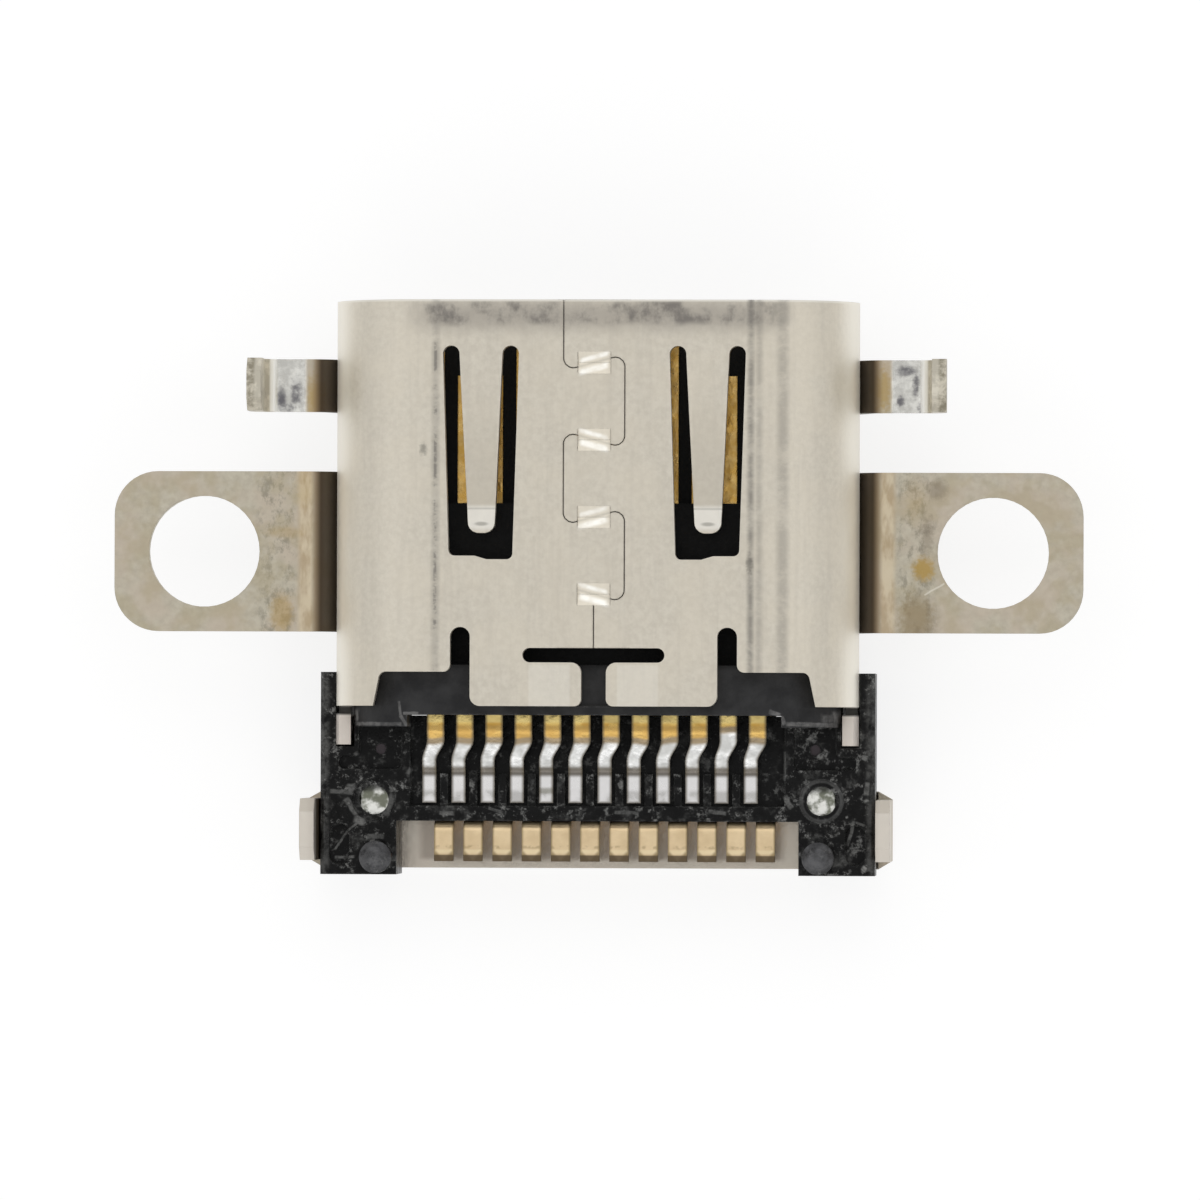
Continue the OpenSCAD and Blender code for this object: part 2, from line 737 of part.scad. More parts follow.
// Plan of the mid plate: the blade, a bar across the flange and the two tails
module mid_plate_plan() {
    difference() {
        translate([-mid_half, plate_root_y]) square([2 * mid_half, tongue_tip_y - plate_root_y]);
        latch_notch();
        mirror([1, 0]) latch_notch();
    }
    for (s = [-1, 1]) {
        translate([s > 0 ? 0 : -plate_tail_x, plate_root_y - plate_bar_len]) square([plate_tail_x, plate_bar_len]);
        translate([s * plate_tail_x - plate_tail_w / 2, plate_tail_y0 - over])
            square([plate_tail_w, plate_root_y - plate_tail_y0 + over]);
    }
}

// The steel plate in the middle of the tongue, which holds the plug's side latches. Its two
// tails run back under the rear housing's inspection holes.
module mid_plate() color("#b9b6b0") {
    y1 = tongue_tip_y - tongue_nose;
    drop_y = plate_root_y - plate_bar_len - plate_bend_r / 2;
    intersection() {
        along_x(-housing_half, housing_half)
            polygon(ribbon(rounded([
                [y1, 0, 0],
                [drop_y, 0, plate_bend_r],
                [drop_y - plate_drop_len, plate_tail_z, plate_bend_r],
                [plate_tail_y0, plate_tail_z, 0]], false), mid_plate_t));
        along_z(-side_r, side_r) mid_plate_plan();
    }
}

// The mid plate's seat in the tongue, with room for its tails where they leave the flange
module mid_plate_seat() {
    z = mid_plate_t / 2 + seat_gap;
    y1 = tongue_tip_y - tongue_nose + seat_gap;
    tail_half = plate_tail_w / 2 + seat_gap;
    bar_half = plate_tail_x + seat_gap;
    block([-mid_half - seat_gap, plate_root_y - over, -z], [mid_half + seat_gap, y1, z]);
    block([-bar_half, plate_root_y - plate_bar_len - seat_gap, -z], [bar_half, plate_root_y + seat_gap, z]);
    for (s = [-1, 1])
        block([s * plate_tail_x - tail_half, flange_y0 - over, plate_tail_z - z],
              [s * plate_tail_x + tail_half, plate_root_y + seat_gap, z]);
}

// Section of the blade along Y, with its nose thinned
module blade_section() {
    t = tongue_t / 2;
    polygon([
        [base_y, -t],
        [tongue_tip_y - tongue_nose, -t],
        [tongue_tip_y, -t / 2],
        [tongue_tip_y, t / 2],
        [tongue_tip_y - tongue_nose, t],
        [base_y, t]]);
}

module tongue_moulding() color("#2c2c2f") {
    flange_top = side_r + flange_grow;
    shoulder_y0 = flange_y0 - shoulder_len;
    difference() {
        union() {
            along_x(-tongue_half, tongue_half) blade_section();
            block([-base_half, flange_y1, -base_t / 2], [base_half, base_y, base_t / 2]);
            stadium(flange_grow, flange_y0, flange_y1);
            // Shoulders beside the leads, above the rear housing
            intersection() {
                stadium(flange_grow, shoulder_y0, flange_y0);
                both_sides() block([shoulder_x, shoulder_y0 - over, 0], [shell_w, flange_y0, shell_h]);
            }
        }
        along_z(-tongue_t, tongue_t) {
            latch_notch();
            mirror([1, 0]) latch_notch();
        }
        // Room under the two flaps
        block([-cross_slot_w / 2, rear_y, flange_top - flap_drop - 0.02],
              [cross_slot_w / 2, flange_y1 + over, flange_top + over]);
        mid_plate_seat();
        for (i = [1 : CONTACTS]) {
            near_seat(i);
            far_seat(i);
        }
    }
}

// ---------------------------------------------------------------- rear housing

// Section of the housing, its lower corners cut back to clear the bracket's bends
module housing_section()
    polygon([
        [-housing_half, housing_top - housing_chamfer],
        [-housing_half + housing_chamfer, housing_top],
        [housing_half - housing_chamfer, housing_top],
        [housing_half, housing_top - housing_chamfer],
        [housing_half, -side_r + bend_r],
        [housing_half - bend_r, -side_r],
        [-housing_half + bend_r, -side_r],
        [-housing_half, -side_r + bend_r]]);

// Plan of a slot with round ends, its middle at x, y
module round_slot(x, y, w, len) {
    translate([x - w / 2, y - (len - w) / 2]) square([w, len - w]);
    for (s = [-1, 1]) translate([x, y + s * (len - w) / 2]) circle(d = w);
}

// Everything that leaves the +X side of the housing open
module housing_side_cuts() {
    tail_x0 = flat_half + (side_r - tail_t) * cos(tail_angle) - lead_gap;
    tail_y0 = rear_y - tail_len - lead_gap;
    tail_z0 = -side_r * sin(tail_angle) - lead_gap;
    plate_half = plate_tail_w / 2 + lead_gap;
    plate_z0 = plate_tail_z - mid_plate_t / 2;
    pocket_x0 = cavity_half + pocket_wall;
    pocket_x1 = tail_x0 - pocket_wall / 2;
    // Slot for the shell's side tail
    block([tail_x0, tail_y0, tail_z0], [shell_w / 2 + fit, block_y1 + over, over]);
    // Tunnel for the mid plate's tail
    block([plate_tail_x - plate_half, plate_tail_y0 - lead_gap, plate_z0 - lead_gap],
          [plate_tail_x + plate_half, block_y1 + over, plate_z0 + mid_plate_t + lead_gap]);
    // Inspection hole with its sunk rim, and a small round window in front of it
    translate([eye_x, eye_y, 0]) {
        translate([0, 0, plate_tail_z]) cylinder(d = eye_d, h = side_r);
        translate([0, 0, housing_top - eye_rim_depth]) cylinder(d = eye_rim_d, h = side_r);
        translate([-eye_window_in, eye_window_ahead, plate_tail_z]) cylinder(d = eye_window_d, h = side_r);
    }
    // Shallow pocket between the pin cavity and the slot for the side tail
    along_z(housing_top - pocket_depth, over)
        polygon(rounded([
            [pocket_x0, eye_y + eye_rim_d / 2 + pocket_wall, pocket_r],
            [housing_half - 2 * pocket_wall, eye_y + eye_rim_d / 2 + pocket_wall, pocket_r],
            [housing_half - 2 * pocket_wall, tail_y0 - pocket_wall, pocket_r],
            [pocket_x1, tail_y0 - pocket_wall, pocket_r],
            [pocket_x1, block_y1 - pocket_wall, pocket_r],
            [pocket_x0, block_y1 - pocket_wall, pocket_r]]));
    // Oval pocket at the outer side of the lug
    along_z(housing_top - pocket_depth, over)
        round_slot(housing_half - pocket_wall - lug_pocket_w / 2, lug_y0 + lug_len / 2 + 0.06,
                   lug_pocket_w, lug_pocket_len);
}

module rear_housing() color("#1a1a1c") {
    difference() {
        union() {
            along_y(bar_y0, block_y1) housing_section();
            // Laps beside the shell, and the lugs behind the bar
            intersection() {
                along_y(lug_y0, rear_y + lap_len) housing_section();
                both_sides() {
                    block([flat_half + side_r / 2, block_y1, -shell_h], [shell_w, rear_y + lap_len, shell_h]);
                    block([lug_x, lug_y0, -shell_h], [shell_w, bar_y0, shell_h]);
                }
            }
        }
        stadium(fit, block_y1, rear_y + lap_len + over);
        // Pin cavity, open in front to the leads
        block([-cavity_half, cavity_y0, cavity_floor], [cavity_half, block_y1 + over, over]);
        both_sides() housing_side_cuts();
        for (i = [1 : CONTACTS]) far_lead_room(i);
    }
    // Ribs between the near feet
    rib_half = (pitch - near_foot_w) / 2 - 2 * lead_gap;
    for (i = [1 : CONTACTS - 1]) {
        x = contact_x(i) + pitch / 2 - foot_step;
        block([x - rib_half, cavity_y0, cavity_floor], [x + rib_half, cavity_y0 + near_foot_len, housing_top - rib_sink]);
    }
    // Locating pegs
    both_sides() translate([peg_x, peg_y, housing_top]) {
        cylinder(d = peg_d, h = peg_up - peg_chamfer - housing_top);
        translate([0, 0, peg_up - peg_chamfer - housing_top])
            cylinder(d1 = peg_d, d2 = peg_d - 2 * peg_chamfer, h = peg_chamfer);
    }
}

// Tunnel for a far-row lead: straight through the block and up behind the bar
module far_lead_room(i) {
    x = contact_x(i) + foot_step;
    half = far_foot_w / 2 + lead_gap;
    z0 = far_run_z - contact_t / 2 - lead_gap;
    z1 = far_run_z + contact_t / 2 + lead_gap;
    slope = (foot_z - far_run_z) / (far_rise_y - far_foot_y);
    bar_z = far_run_z + slope * (far_rise_y - bar_y0)
        + (contact_t / 2 + lead_gap) * sqrt(1 + pow(slope, 2));
    along_x(x - half, x + half)
        polygon([
            [block_y1 + over, z0],
            [block_y1 + over, z1],
            [bar_y0 + (bar_z - z1) / slope, z1],
            [bar_y0, bar_z],
            [bar_y0 - over, bar_z],
            [bar_y0 - over, z0]]);
}

// ---------------------------------------------------------------- nodes

shell();
cover_bracket();
tongue_moulding();
mid_plate();
rear_housing();
for (i = [1 : CONTACTS])
    color("#d8a63a") near_contact(i);
for (i = [1 : CONTACTS])
    color("#cfae73") far_contact(i);
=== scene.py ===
import functools
import math

import bpy
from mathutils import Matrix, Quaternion, Vector


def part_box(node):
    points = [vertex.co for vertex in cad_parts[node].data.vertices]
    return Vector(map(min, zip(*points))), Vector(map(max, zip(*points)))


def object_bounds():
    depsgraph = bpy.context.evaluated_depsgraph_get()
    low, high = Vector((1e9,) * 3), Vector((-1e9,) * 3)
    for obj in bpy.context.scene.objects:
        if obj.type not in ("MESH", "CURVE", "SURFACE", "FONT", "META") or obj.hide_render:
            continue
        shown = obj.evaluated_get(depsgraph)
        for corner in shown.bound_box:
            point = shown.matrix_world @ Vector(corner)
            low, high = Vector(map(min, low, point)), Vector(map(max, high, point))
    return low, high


# The looks of a board-mounted usb-c socket, laid over its solids. The frame is in metres, +Z is
# the side that faces the circuit board and +Y is the way the mouth faces. Lengths below are in
# millimetres and MM turns them into metres; materials measure in millimetres too. No piece is
# added to the part: all dirt, wear, solder and staining is colour, and so are the painted
# highlights and painted shade.
MM = 0.001

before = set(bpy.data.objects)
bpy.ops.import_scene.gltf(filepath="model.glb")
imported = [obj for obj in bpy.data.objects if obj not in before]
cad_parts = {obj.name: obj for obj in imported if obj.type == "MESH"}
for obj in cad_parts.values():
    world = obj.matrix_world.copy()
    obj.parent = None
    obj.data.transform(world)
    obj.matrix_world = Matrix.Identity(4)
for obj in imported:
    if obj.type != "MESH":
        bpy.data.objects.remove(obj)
cad_low, cad_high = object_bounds()

NEAR_CONTACTS = sorted(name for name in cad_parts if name.startswith("contact_b"))
FAR_CONTACTS = sorted(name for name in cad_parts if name.startswith("contact_a"))


# ------------------------------------------------------------------ places on the part

def lowest(node):
    """A node's lowest corner, in millimetres."""
    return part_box(node)[0] / MM


def highest(node):
    """A node's highest corner, in millimetres."""
    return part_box(node)[1] / MM


# Contacts: where the near leads leave the moulding, where solder ends on them, and where they
# step aside to -X. The far feet stand the same sidestep off to +X.
PITCH = 0.5
SIDESTEP = PITCH / 4
LEAD_START_Y = -2.72
SOLDER_Y = -3.09
STEP_Y = -3.22
STEP_LEN = 0.35
NEAR_FOOT_LEN = 0.55
first_lead_x = -(len(NEAR_CONTACTS) - 1) / 2 * PITCH
near_low = lowest(NEAR_CONTACTS[0])
far_low = lowest(FAR_CONTACTS[0])
near_foot_front = near_low.y + NEAR_FOOT_LEN

# Shell: its mouth, rear edge and round sides, the staked seam and the two near fingers
SHELL_LEN = 6.9
STAKES = 4
FIRST_STAKE = 1.07
STAKE_STEP = 1.31
STAKE_LEAN = 0.27
SEAM_HALF = 0.62
SEAM_END_Y = -1.72
FINGER_X = 1.925
FINGER_HALF = 0.265
FINGER_TIP_Y = 0.36
FINGER_FOLD_Y = 0.70
shell_high = highest("shell")
shell_half = shell_high.x
mouth_y = shell_high.y
shell_rear_y = mouth_y - SHELL_LEN

# Cover: half the ears' width along y, how far out the front legs reach and where their flats
# start and end, the bends beside the shell, which lie a little further out on -X, and the height
# below which there is only the flat plate
EAR_HALF = 1.37
LEG_REACH = 5.96
LEG_FLAT_START = LEG_REACH - 0.95
LEG_FLAT_END = LEG_REACH - 0.43
BEND_SHIFT = 0.03
PLATE_Z = -1.4
bend_x = shell_half + 0.38

# Rear housing: the height of its top, and the +X eye over the mid plate's tail
HOUSING_TOP = -0.02
EYE = (3.83, -4.245, 0)
housing_half = highest("rear_housing").x


# ------------------------------------------------------------------ node graphs

class Graph:
    """One material's node tree. Most methods add nodes and return an output socket. Masks are
    sockets that run from 0 to 1."""

    # A mix node's sockets for a, b and the result, by the kind of value it mixes
    MIX_SOCKETS = {"RGBA": (6, 7, 2), "FLOAT": (2, 3, 0)}

    def __init__(self, name):
        self.material = bpy.data.materials.new(name)
        self.material.use_nodes = True
        self.tree = self.material.node_tree
        self.tree.nodes.clear()
        place = self.node("ShaderNodeTexCoord").outputs["Object"]
        self.place = self.vector("MULTIPLY", place, (1 / MM,) * 3)
        split = self.node("ShaderNodeSeparateXYZ", Vector=self.place)
        self.x, self.y, self.z = split.outputs
        self.side = self.math("ABSOLUTE", self.x)
        # Noises that all strokes and blobs share: one shakes strokes, one frays blobs
        self.wobble = self.noise(5.0, 3.0, 0.6)
        self.fray = self.math("SUBTRACT", self.noise(15.0, 3.0), 0.5)

    def node(self, kind, **inputs):
        """A new node. An input's name has _ for each space."""
        made = self.tree.nodes.new(kind)
        for name, value in inputs.items():
            self.feed(made.inputs[name.replace("_", " ")], value)
        return made

    def feed(self, socket, value):
        """Links a socket to an input, or sets a number or colour on it."""
        if isinstance(value, bpy.types.NodeSocket):
            self.tree.links.new(value, socket)
        elif socket.type == "RGBA":
            socket.default_value = (*value, 1)
        else:
            socket.default_value = value

    def math(self, operation, a, b=0.0, c=0.0):
        made = self.tree.nodes.new("ShaderNodeMath")
        made.operation = operation
        for socket, value in zip(made.inputs, (a, b, c)):
            self.feed(socket, value)
        return made.outputs[0]

    def vector(self, operation, a, b=(0, 0, 0)):
        made = self.tree.nodes.new("ShaderNodeVectorMath")
        made.operation = operation
        self.feed(made.inputs[0], a)
        self.feed(made.inputs[1], b)
        return made.outputs["Value" if operation in ("LENGTH", "DOT_PRODUCT") else "Vector"]

    def times(self, *factors):
        """The product of masks and numbers."""
        return functools.reduce(lambda a, b: self.math("MULTIPLY", a, b), factors)

    def most(self, *masks):
        """The strongest of several masks."""
        return functools.reduce(lambda a, b: self.math("MAXIMUM", a, b), masks)

    def noise(self, scale, detail=3.0, roughness=0.55, stretch=(1, 1, 1), shift=(0, 0, 0)):
        """Noise around 0.5, with scale in features per millimetre."""
        place = self.vector("ADD", self.vector("MULTIPLY", self.place, stretch), shift)
        made = self.node("ShaderNodeTexNoise", Vector=place, Scale=scale, Detail=detail,
                         Roughness=roughness)
        return made.outputs[0]

    def fade(self, value, start, end, low=0.0, high=1.0):
        """low where value is before start, high where it is past end, smooth between. A start
        above end turns the way round."""
        made = self.tree.nodes.new("ShaderNodeMapRange")
        made.interpolation_type = "SMOOTHSTEP"
        for name, number in (("Value", value), ("From Min", start), ("From Max", end),
                             ("To Min", low), ("To Max", high)):
            self.feed(made.inputs[name], number)
        return made.outputs[0]

    def band(self, value, start, end, soft):
        """1 between start and end, 0 outside, over a soft edge."""
        rise = self.fade(value, start - soft, start + soft)
        return self.times(rise, self.below(value, end, soft))

    def below(self, value, end, soft):
        """1 below end, 0 above, over a soft edge."""
        return self.fade(value, end - soft, end + soft, 1.0, 0.0)

    def spot(self, centre, radius, soft, squeeze, ragged):
        """1 inside a blob round centre, 0 outside. soft is the edge's share of the radius. A
        squeeze over 1 narrows the blob along that axis, and ragged shakes its outline."""
        away = self.vector("MULTIPLY", self.vector("SUBTRACT", self.place, centre), squeeze)
        far = self.vector("LENGTH", away)
        if ragged:
            far = self.math("MULTIPLY_ADD", self.fray, ragged, far)
        return self.below(far, radius, radius * soft)

    def stroke(self, start, end, width):
        """1 along a shaky stroke seen from +Z, from start to end as x and y, 0 outside."""
        along = Vector((end[0] - start[0], end[1] - start[1], 0.0))
        length = along.length
        along.normalize()
        from_start = self.vector("SUBTRACT", self.place, (*start, 0.0))
        run = self.vector("DOT_PRODUCT", from_start, along)
        across = self.vector("DOT_PRODUCT", from_start, (-along.y, along.x, 0.0))
        shake = self.math("MULTIPLY_ADD", self.wobble, 1.6 * width, -0.8 * width)
        across = self.math("ABSOLUTE", self.math("ADD", across, shake))
        inside = self.fade(across, width * 0.5, width * 1.1, 1.0, 0.0)
        return self.times(inside, self.band(run, 0.0, length, width * 0.5))

    def stains(self, table):
        """The blobs of a table, each with spot's five values and a strength."""
        return self.most(*[self.times(self.spot(*blob), strength) for *blob, strength in table])

    def scuffs(self, table):
        """The strokes of a table, each with stroke's three values and a strength."""
        return self.most(*[self.times(self.stroke(*line), strength) for *line, strength in table])

    def aside(self, first_x, shift=0.0):
        """Distance from the nearest centre line of a row of contacts, whose first is at first_x
        and which all stand shift further to -X."""
        from_first = self.math("SUBTRACT", self.math("ADD", self.x, shift), first_x)
        steps = self.math("DIVIDE", from_first, PITCH)
        return self.times(self.math("PINGPONG", steps, 0.5), PITCH)

    def mix(self, share, a, b, kind="RGBA"):
        """Colour a where share is 0 and colour b where it is 1."""
        a_socket, b_socket, result = self.MIX_SOCKETS[kind]
        made = self.tree.nodes.new("ShaderNodeMix")
        made.data_type = kind
        for socket, value in ((0, share), (a_socket, a), (b_socket, b)):
            self.feed(made.inputs[socket], value)
        return made.outputs[result]

    def blend(self, share, a, b):
        """Number a where share is 0 and number b where it is 1."""
        return self.mix(share, a, b, "FLOAT")

    def paint(self, color, mask, strength, over):
        """A colour with another laid over it by that strength where the mask is 1."""
        return self.mix(self.times(mask, strength), color, over)

    def rounded(self, radius):
        """The solid's normal as if its edges were rounded to that radius."""
        made = self.node("ShaderNodeBevel", Radius=radius * MM)
        made.samples = 2
        return made.outputs[0]

    def edges(self, radius):
        """Near 1 on the solid's sharp edges and near 0 on its faces."""
        true_normal = self.node("ShaderNodeNewGeometry").outputs["Normal"]
        same = self.vector("DOT_PRODUCT", self.rounded(radius), true_normal)
        return self.fade(same, 0.995, 0.85)

    def bump(self, height, depth, edge_radius):
        """A normal with a bump that deep, on edges rounded to that radius."""
        normal = self.rounded(edge_radius)
        return self.node("ShaderNodeBump", Height=height, Distance=depth * MM,
                         Normal=normal).outputs[0]

    def finish(self, color, roughness, metallic, normal, specular=0.5):
        """The finished material."""
        shader = self.node("ShaderNodeBsdfPrincipled", Base_Color=color, Roughness=roughness,
                           Metallic=metallic, Normal=normal, Specular_IOR_Level=specular)
        return self.surface(shader)

    def surface(self, shader):
        self.node("ShaderNodeOutputMaterial", Surface=shader.outputs[0])
        return self.material


def dress(nodes, material):
    """Gives CAD nodes their material."""
    for node in nodes:
        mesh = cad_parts[node].data
        mesh.materials.clear()
        mesh.materials.append(material)


# ------------------------------------------------------------------ the shell's material

SHEET_DARK = (0.66, 0.61, 0.515)
SHEET_LIGHT = (0.74, 0.69, 0.59)
SHEET_CLOUD = (0.76, 0.695, 0.575)
SHEET_DRAWN = (0.56, 0.515, 0.44)
HAZE_GREY = (0.33, 0.30, 0.265)
SMUDGE_GREY = (0.19, 0.175, 0.16)
MOUTH_EDGE_HIGHLIGHT = (0.86, 0.83, 0.75)
STREAK_GREY = (0.22, 0.205, 0.185)
SPECK_BROWN = (0.16, 0.15, 0.13)
HIGHLIGHT_WHITE = (0.97, 0.95, 0.89)
CLOSED_SEAM = (0.42, 0.40, 0.35)
BLADE_SHADE = (0.52, 0.475, 0.395)
FOLD_SHADE_GREY = (0.22, 0.21, 0.18)
FLAP_HIGHLIGHT = (0.90, 0.87, 0.79)
RIM_HIGHLIGHT = (0.92, 0.89, 0.82)
SEAM_GRIME = (0.20, 0.18, 0.15)
ARC_EDGE_HIGHLIGHT = (0.99, 0.95, 0.85)
TAIL_TAN = (0.60, 0.53, 0.485)
DEEP_SHADE = (0.03, 0.03, 0.03)

# Streaks along the +X bend: x, half width, soft edge and strength
FAINT_STREAKS = (
    (2.66, 0.05, 0.05, 0.75),
    (2.80, 0.05, 0.06, 0.4),
    (3.20, 0.09, 0.07, 0.45),
)

# Specks of dirt: centre, radius, soft edge, squeeze, ragged and strength
SHELL_SPECKS = (
    ((2.64, -0.22, 1.5), 0.09, 0.6, (1.6, 0.6, 0.3), 0.2, 0.6),
    ((-2.9, 1.72, 1.5), 0.06, 0.6, (1, 0.6, 0.3), 0.1, 0.6),
)


def shell_sheet(g, grain):
    """Warm grey sheet, clouded, and drawn along y."""
    cloud = g.noise(1.1, 3.0, 0.55)
    drawn = g.noise(2.2, 3.0, 0.6, (3.0, 0.22, 3.0))
    color = g.mix(g.fade(grain, 0.25, 0.75), SHEET_DARK, SHEET_LIGHT)
    color = g.mix(g.fade(cloud, 0.35, 0.65, 0.0, 0.4), color, SHEET_CLOUD)
    return g.mix(g.fade(drawn, 0.45, 0.7, 0.0, 0.2), color, SHEET_DRAWN)


def smudged_mouth(g, color, near_face):
    """Grey haze and dark smudges behind the mouth, and a painted highlight on the mouth's edge."""
    ragged_y = g.math("MULTIPLY_ADD", g.noise(1.4, 2.0), 0.16, g.y)
    middle = g.band(g.x, -3.0, 3.1, 0.4)
    haze = g.times(g.band(ragged_y, mouth_y - 0.42, mouth_y + 0.04, 0.2), middle)
    color = g.paint(color, haze, 0.6, HAZE_GREY)
    strip = g.times(g.band(ragged_y, mouth_y - 0.33, mouth_y + 0.04, 0.07), middle)
    patches = g.fade(g.noise(2.3, 4.0, 0.65, (1, 0.8, 1)), 0.40, 0.66)
    color = g.paint(color, g.times(strip, patches, near_face), 0.85, SMUDGE_GREY)
    # A painted highlight along the mouth's edge
    return g.mix(g.fade(g.y, mouth_y - 0.05, mouth_y - 0.01), color, MOUTH_EDGE_HIGHLIGHT)


def shell_streaks(g, near_face):
    """The mask of the tool streaks: one broken line on -X, and fainter ones on +X."""
    breaks = g.fade(g.noise(2.4, 4.0, 0.75, (0.8, 1, 0.2)), 0.40, 0.60)
    below_haze = g.fade(g.y, mouth_y - 0.5, mouth_y - 0.8)
    soft_line = g.band(g.x, -2.75, -2.63, 0.05)
    core_line = g.band(g.x, -2.725, -2.665, 0.015)
    streaks = [g.times(soft_line, g.blend(0.5, below_haze, breaks), 0.52),
               g.times(core_line, breaks, below_haze, 0.85)]
    patchy = g.fade(g.noise(2.4, 4.0, 0.7, (0.6, 1, 0.6)), 0.36, 0.60)
    uneven = g.blend(0.45, patchy, 1.0)
    for line_x, half, soft, strength in FAINT_STREAKS:
        line = g.band(g.x, line_x - half, line_x + half, soft)
        streaks.append(g.times(line, strength, uneven))
    return g.times(g.most(*streaks), near_face)


def stake_highlights(g, color, near_face):
    """Painted highlights on the two slopes of each stake, each with the closed seam as a faint line.
    """
    bright = []
    seams = []
    for i in range(STAKES):
        lean = STAKE_LEAN if i % 2 else -STAKE_LEAN
        stake_y = mouth_y - FIRST_STAKE - STAKE_STEP * i
        off = g.math("SUBTRACT", g.math("MULTIPLY_ADD", g.x, lean, g.y), stake_y)
        bright += [g.band(off, 0.06, 0.13, 0.03), g.band(off, -0.15, -0.05, 0.035)]
        seams.append(g.band(off, -0.012, 0.018, 0.015))
    ragged_x = g.math("MULTIPLY_ADD", g.noise(5.0, 2.0), 0.1, g.x)
    uneven = g.fade(g.noise(6.0, 2.0), 0.3, 0.6, 0.55, 1.0)
    # Painted highlights on the stakes' slopes, broken up
    highlight = g.times(g.most(*bright), g.band(ragged_x, -0.2, 0.28, 0.05), uneven, near_face)
    color = g.mix(highlight, color, HIGHLIGHT_WHITE)
    seam = g.times(g.most(*seams), g.band(g.x, -0.29, 0.29, 0.02), near_face)
    return g.paint(color, seam, 0.4, CLOSED_SEAM)


def spring_fingers(g, color):
    """A darker blade, a painted highlight on the lip, and painted shade in the fold line and in a
    small dent behind the tip.
    """
    along = g.band(g.side, FINGER_X - FINGER_HALF, FINGER_X + FINGER_HALF, 0.02)
    finger = g.times(along, g.fade(g.z, 0.3, 0.6))
    behind_fold = g.fade(g.y, FINGER_FOLD_Y, FINGER_FOLD_Y + 0.1)
    blade = g.times(g.fade(g.y, 3.2, 1.4), behind_fold, finger)
    color = g.paint(color, blade, 0.35, BLADE_SHADE)
    lip = g.times(g.band(g.y, FINGER_TIP_Y, FINGER_FOLD_Y + 0.06, 0.05), finger)
    # A painted highlight on the lip
    color = g.paint(color, lip, 0.6, HIGHLIGHT_WHITE)
    fold = g.times(g.band(g.y, FINGER_FOLD_Y, FINGER_FOLD_Y + 0.03, 0.015), finger)
    marks = [g.spot((x, FINGER_TIP_Y + 0.095, 1.3), 0.085, 0.5, (0.8, 2.6, 0.2), 0)
             for x in (-FINGER_X, FINGER_X)]
    # Painted shade in the fold and in a small dent behind each tip
    creases = g.most(g.times(fold, 0.5), g.times(g.most(*marks), 0.8))
    return g.paint(color, creases, 0.7, FOLD_SHADE_GREY)


def shell_edges(g, color, near_face):
    """Painted highlights on the rims, a grimy seam, and painted highlights on the round sides' outer
    edges.
    """
    rims = g.times(g.edges(0.03), near_face)
    at_seam = g.times(g.below(g.side, SEAM_HALF, 0.02),
                      g.fade(g.y, SEAM_END_Y - 0.02, SEAM_END_Y + 0.02))
    # Painted highlights along the near face's edges, away from the seam
    color = g.paint(color, g.times(rims, g.math("SUBTRACT", 1.0, at_seam)), 0.4, RIM_HIGHLIGHT)
    color = g.paint(color, g.times(rims, at_seam), 0.75, SEAM_GRIME)
    # Painted highlights on the round sides' outer edges
    outermost = g.fade(g.side, shell_half - 0.42, shell_half - 0.05)
    return g.paint(color, outermost, 0.85, ARC_EDGE_HIGHLIGHT)


def shell_rear(g, color):
    """The side tails, and painted shade in the gap where their necks dip."""
    neck = g.band(g.y, shell_rear_y - 0.16, shell_rear_y - 0.01, 0.02)
    # Painted shade where each tail's neck dips
    color = g.paint(color, neck, 0.9, DEEP_SHADE)
    tail = g.fade(g.y, shell_rear_y - 0.12, shell_rear_y - 0.2)
    return g.paint(color, tail, 0.7, TAIL_TAN)


def shell_steel():
    """Matte nickel-plated sheet, smudged behind the mouth and streaked along its bends."""
    g = Graph("shell_steel")
    grain = g.noise(11.0, 3.0, 0.6)
    near_face = g.fade(g.z, shell_high.z - 0.35, shell_high.z - 0.05)
    color = shell_sheet(g, grain)
    color = smudged_mouth(g, color, near_face)
    streaks = shell_streaks(g, near_face)
    color = g.mix(streaks, color, STREAK_GREY)
    color = g.mix(g.stains(SHELL_SPECKS), color, SPECK_BROWN)
    color = stake_highlights(g, color, near_face)
    color = spring_fingers(g, color)
    # A painted highlight on each of the two flaps, up to its fold
    flap = g.times(g.band(g.side, 0.40, 1.10, 0.02),
                   g.band(g.y, shell_rear_y - 0.1, shell_rear_y + 0.70, 0.02))
    color = g.paint(color, flap, 0.3, FLAP_HIGHLIGHT)
    color = shell_edges(g, color, near_face)
    color = shell_rear(g, color)
    height = g.math("MULTIPLY_ADD", streaks, -0.8, grain)
    roughness = g.fade(grain, 0.3, 0.7, 0.36, 0.44)
    return g.finish(color, roughness, 0.6, g.bump(height, 0.0035, 0.02))


# ------------------------------------------------------------------ the cover's material

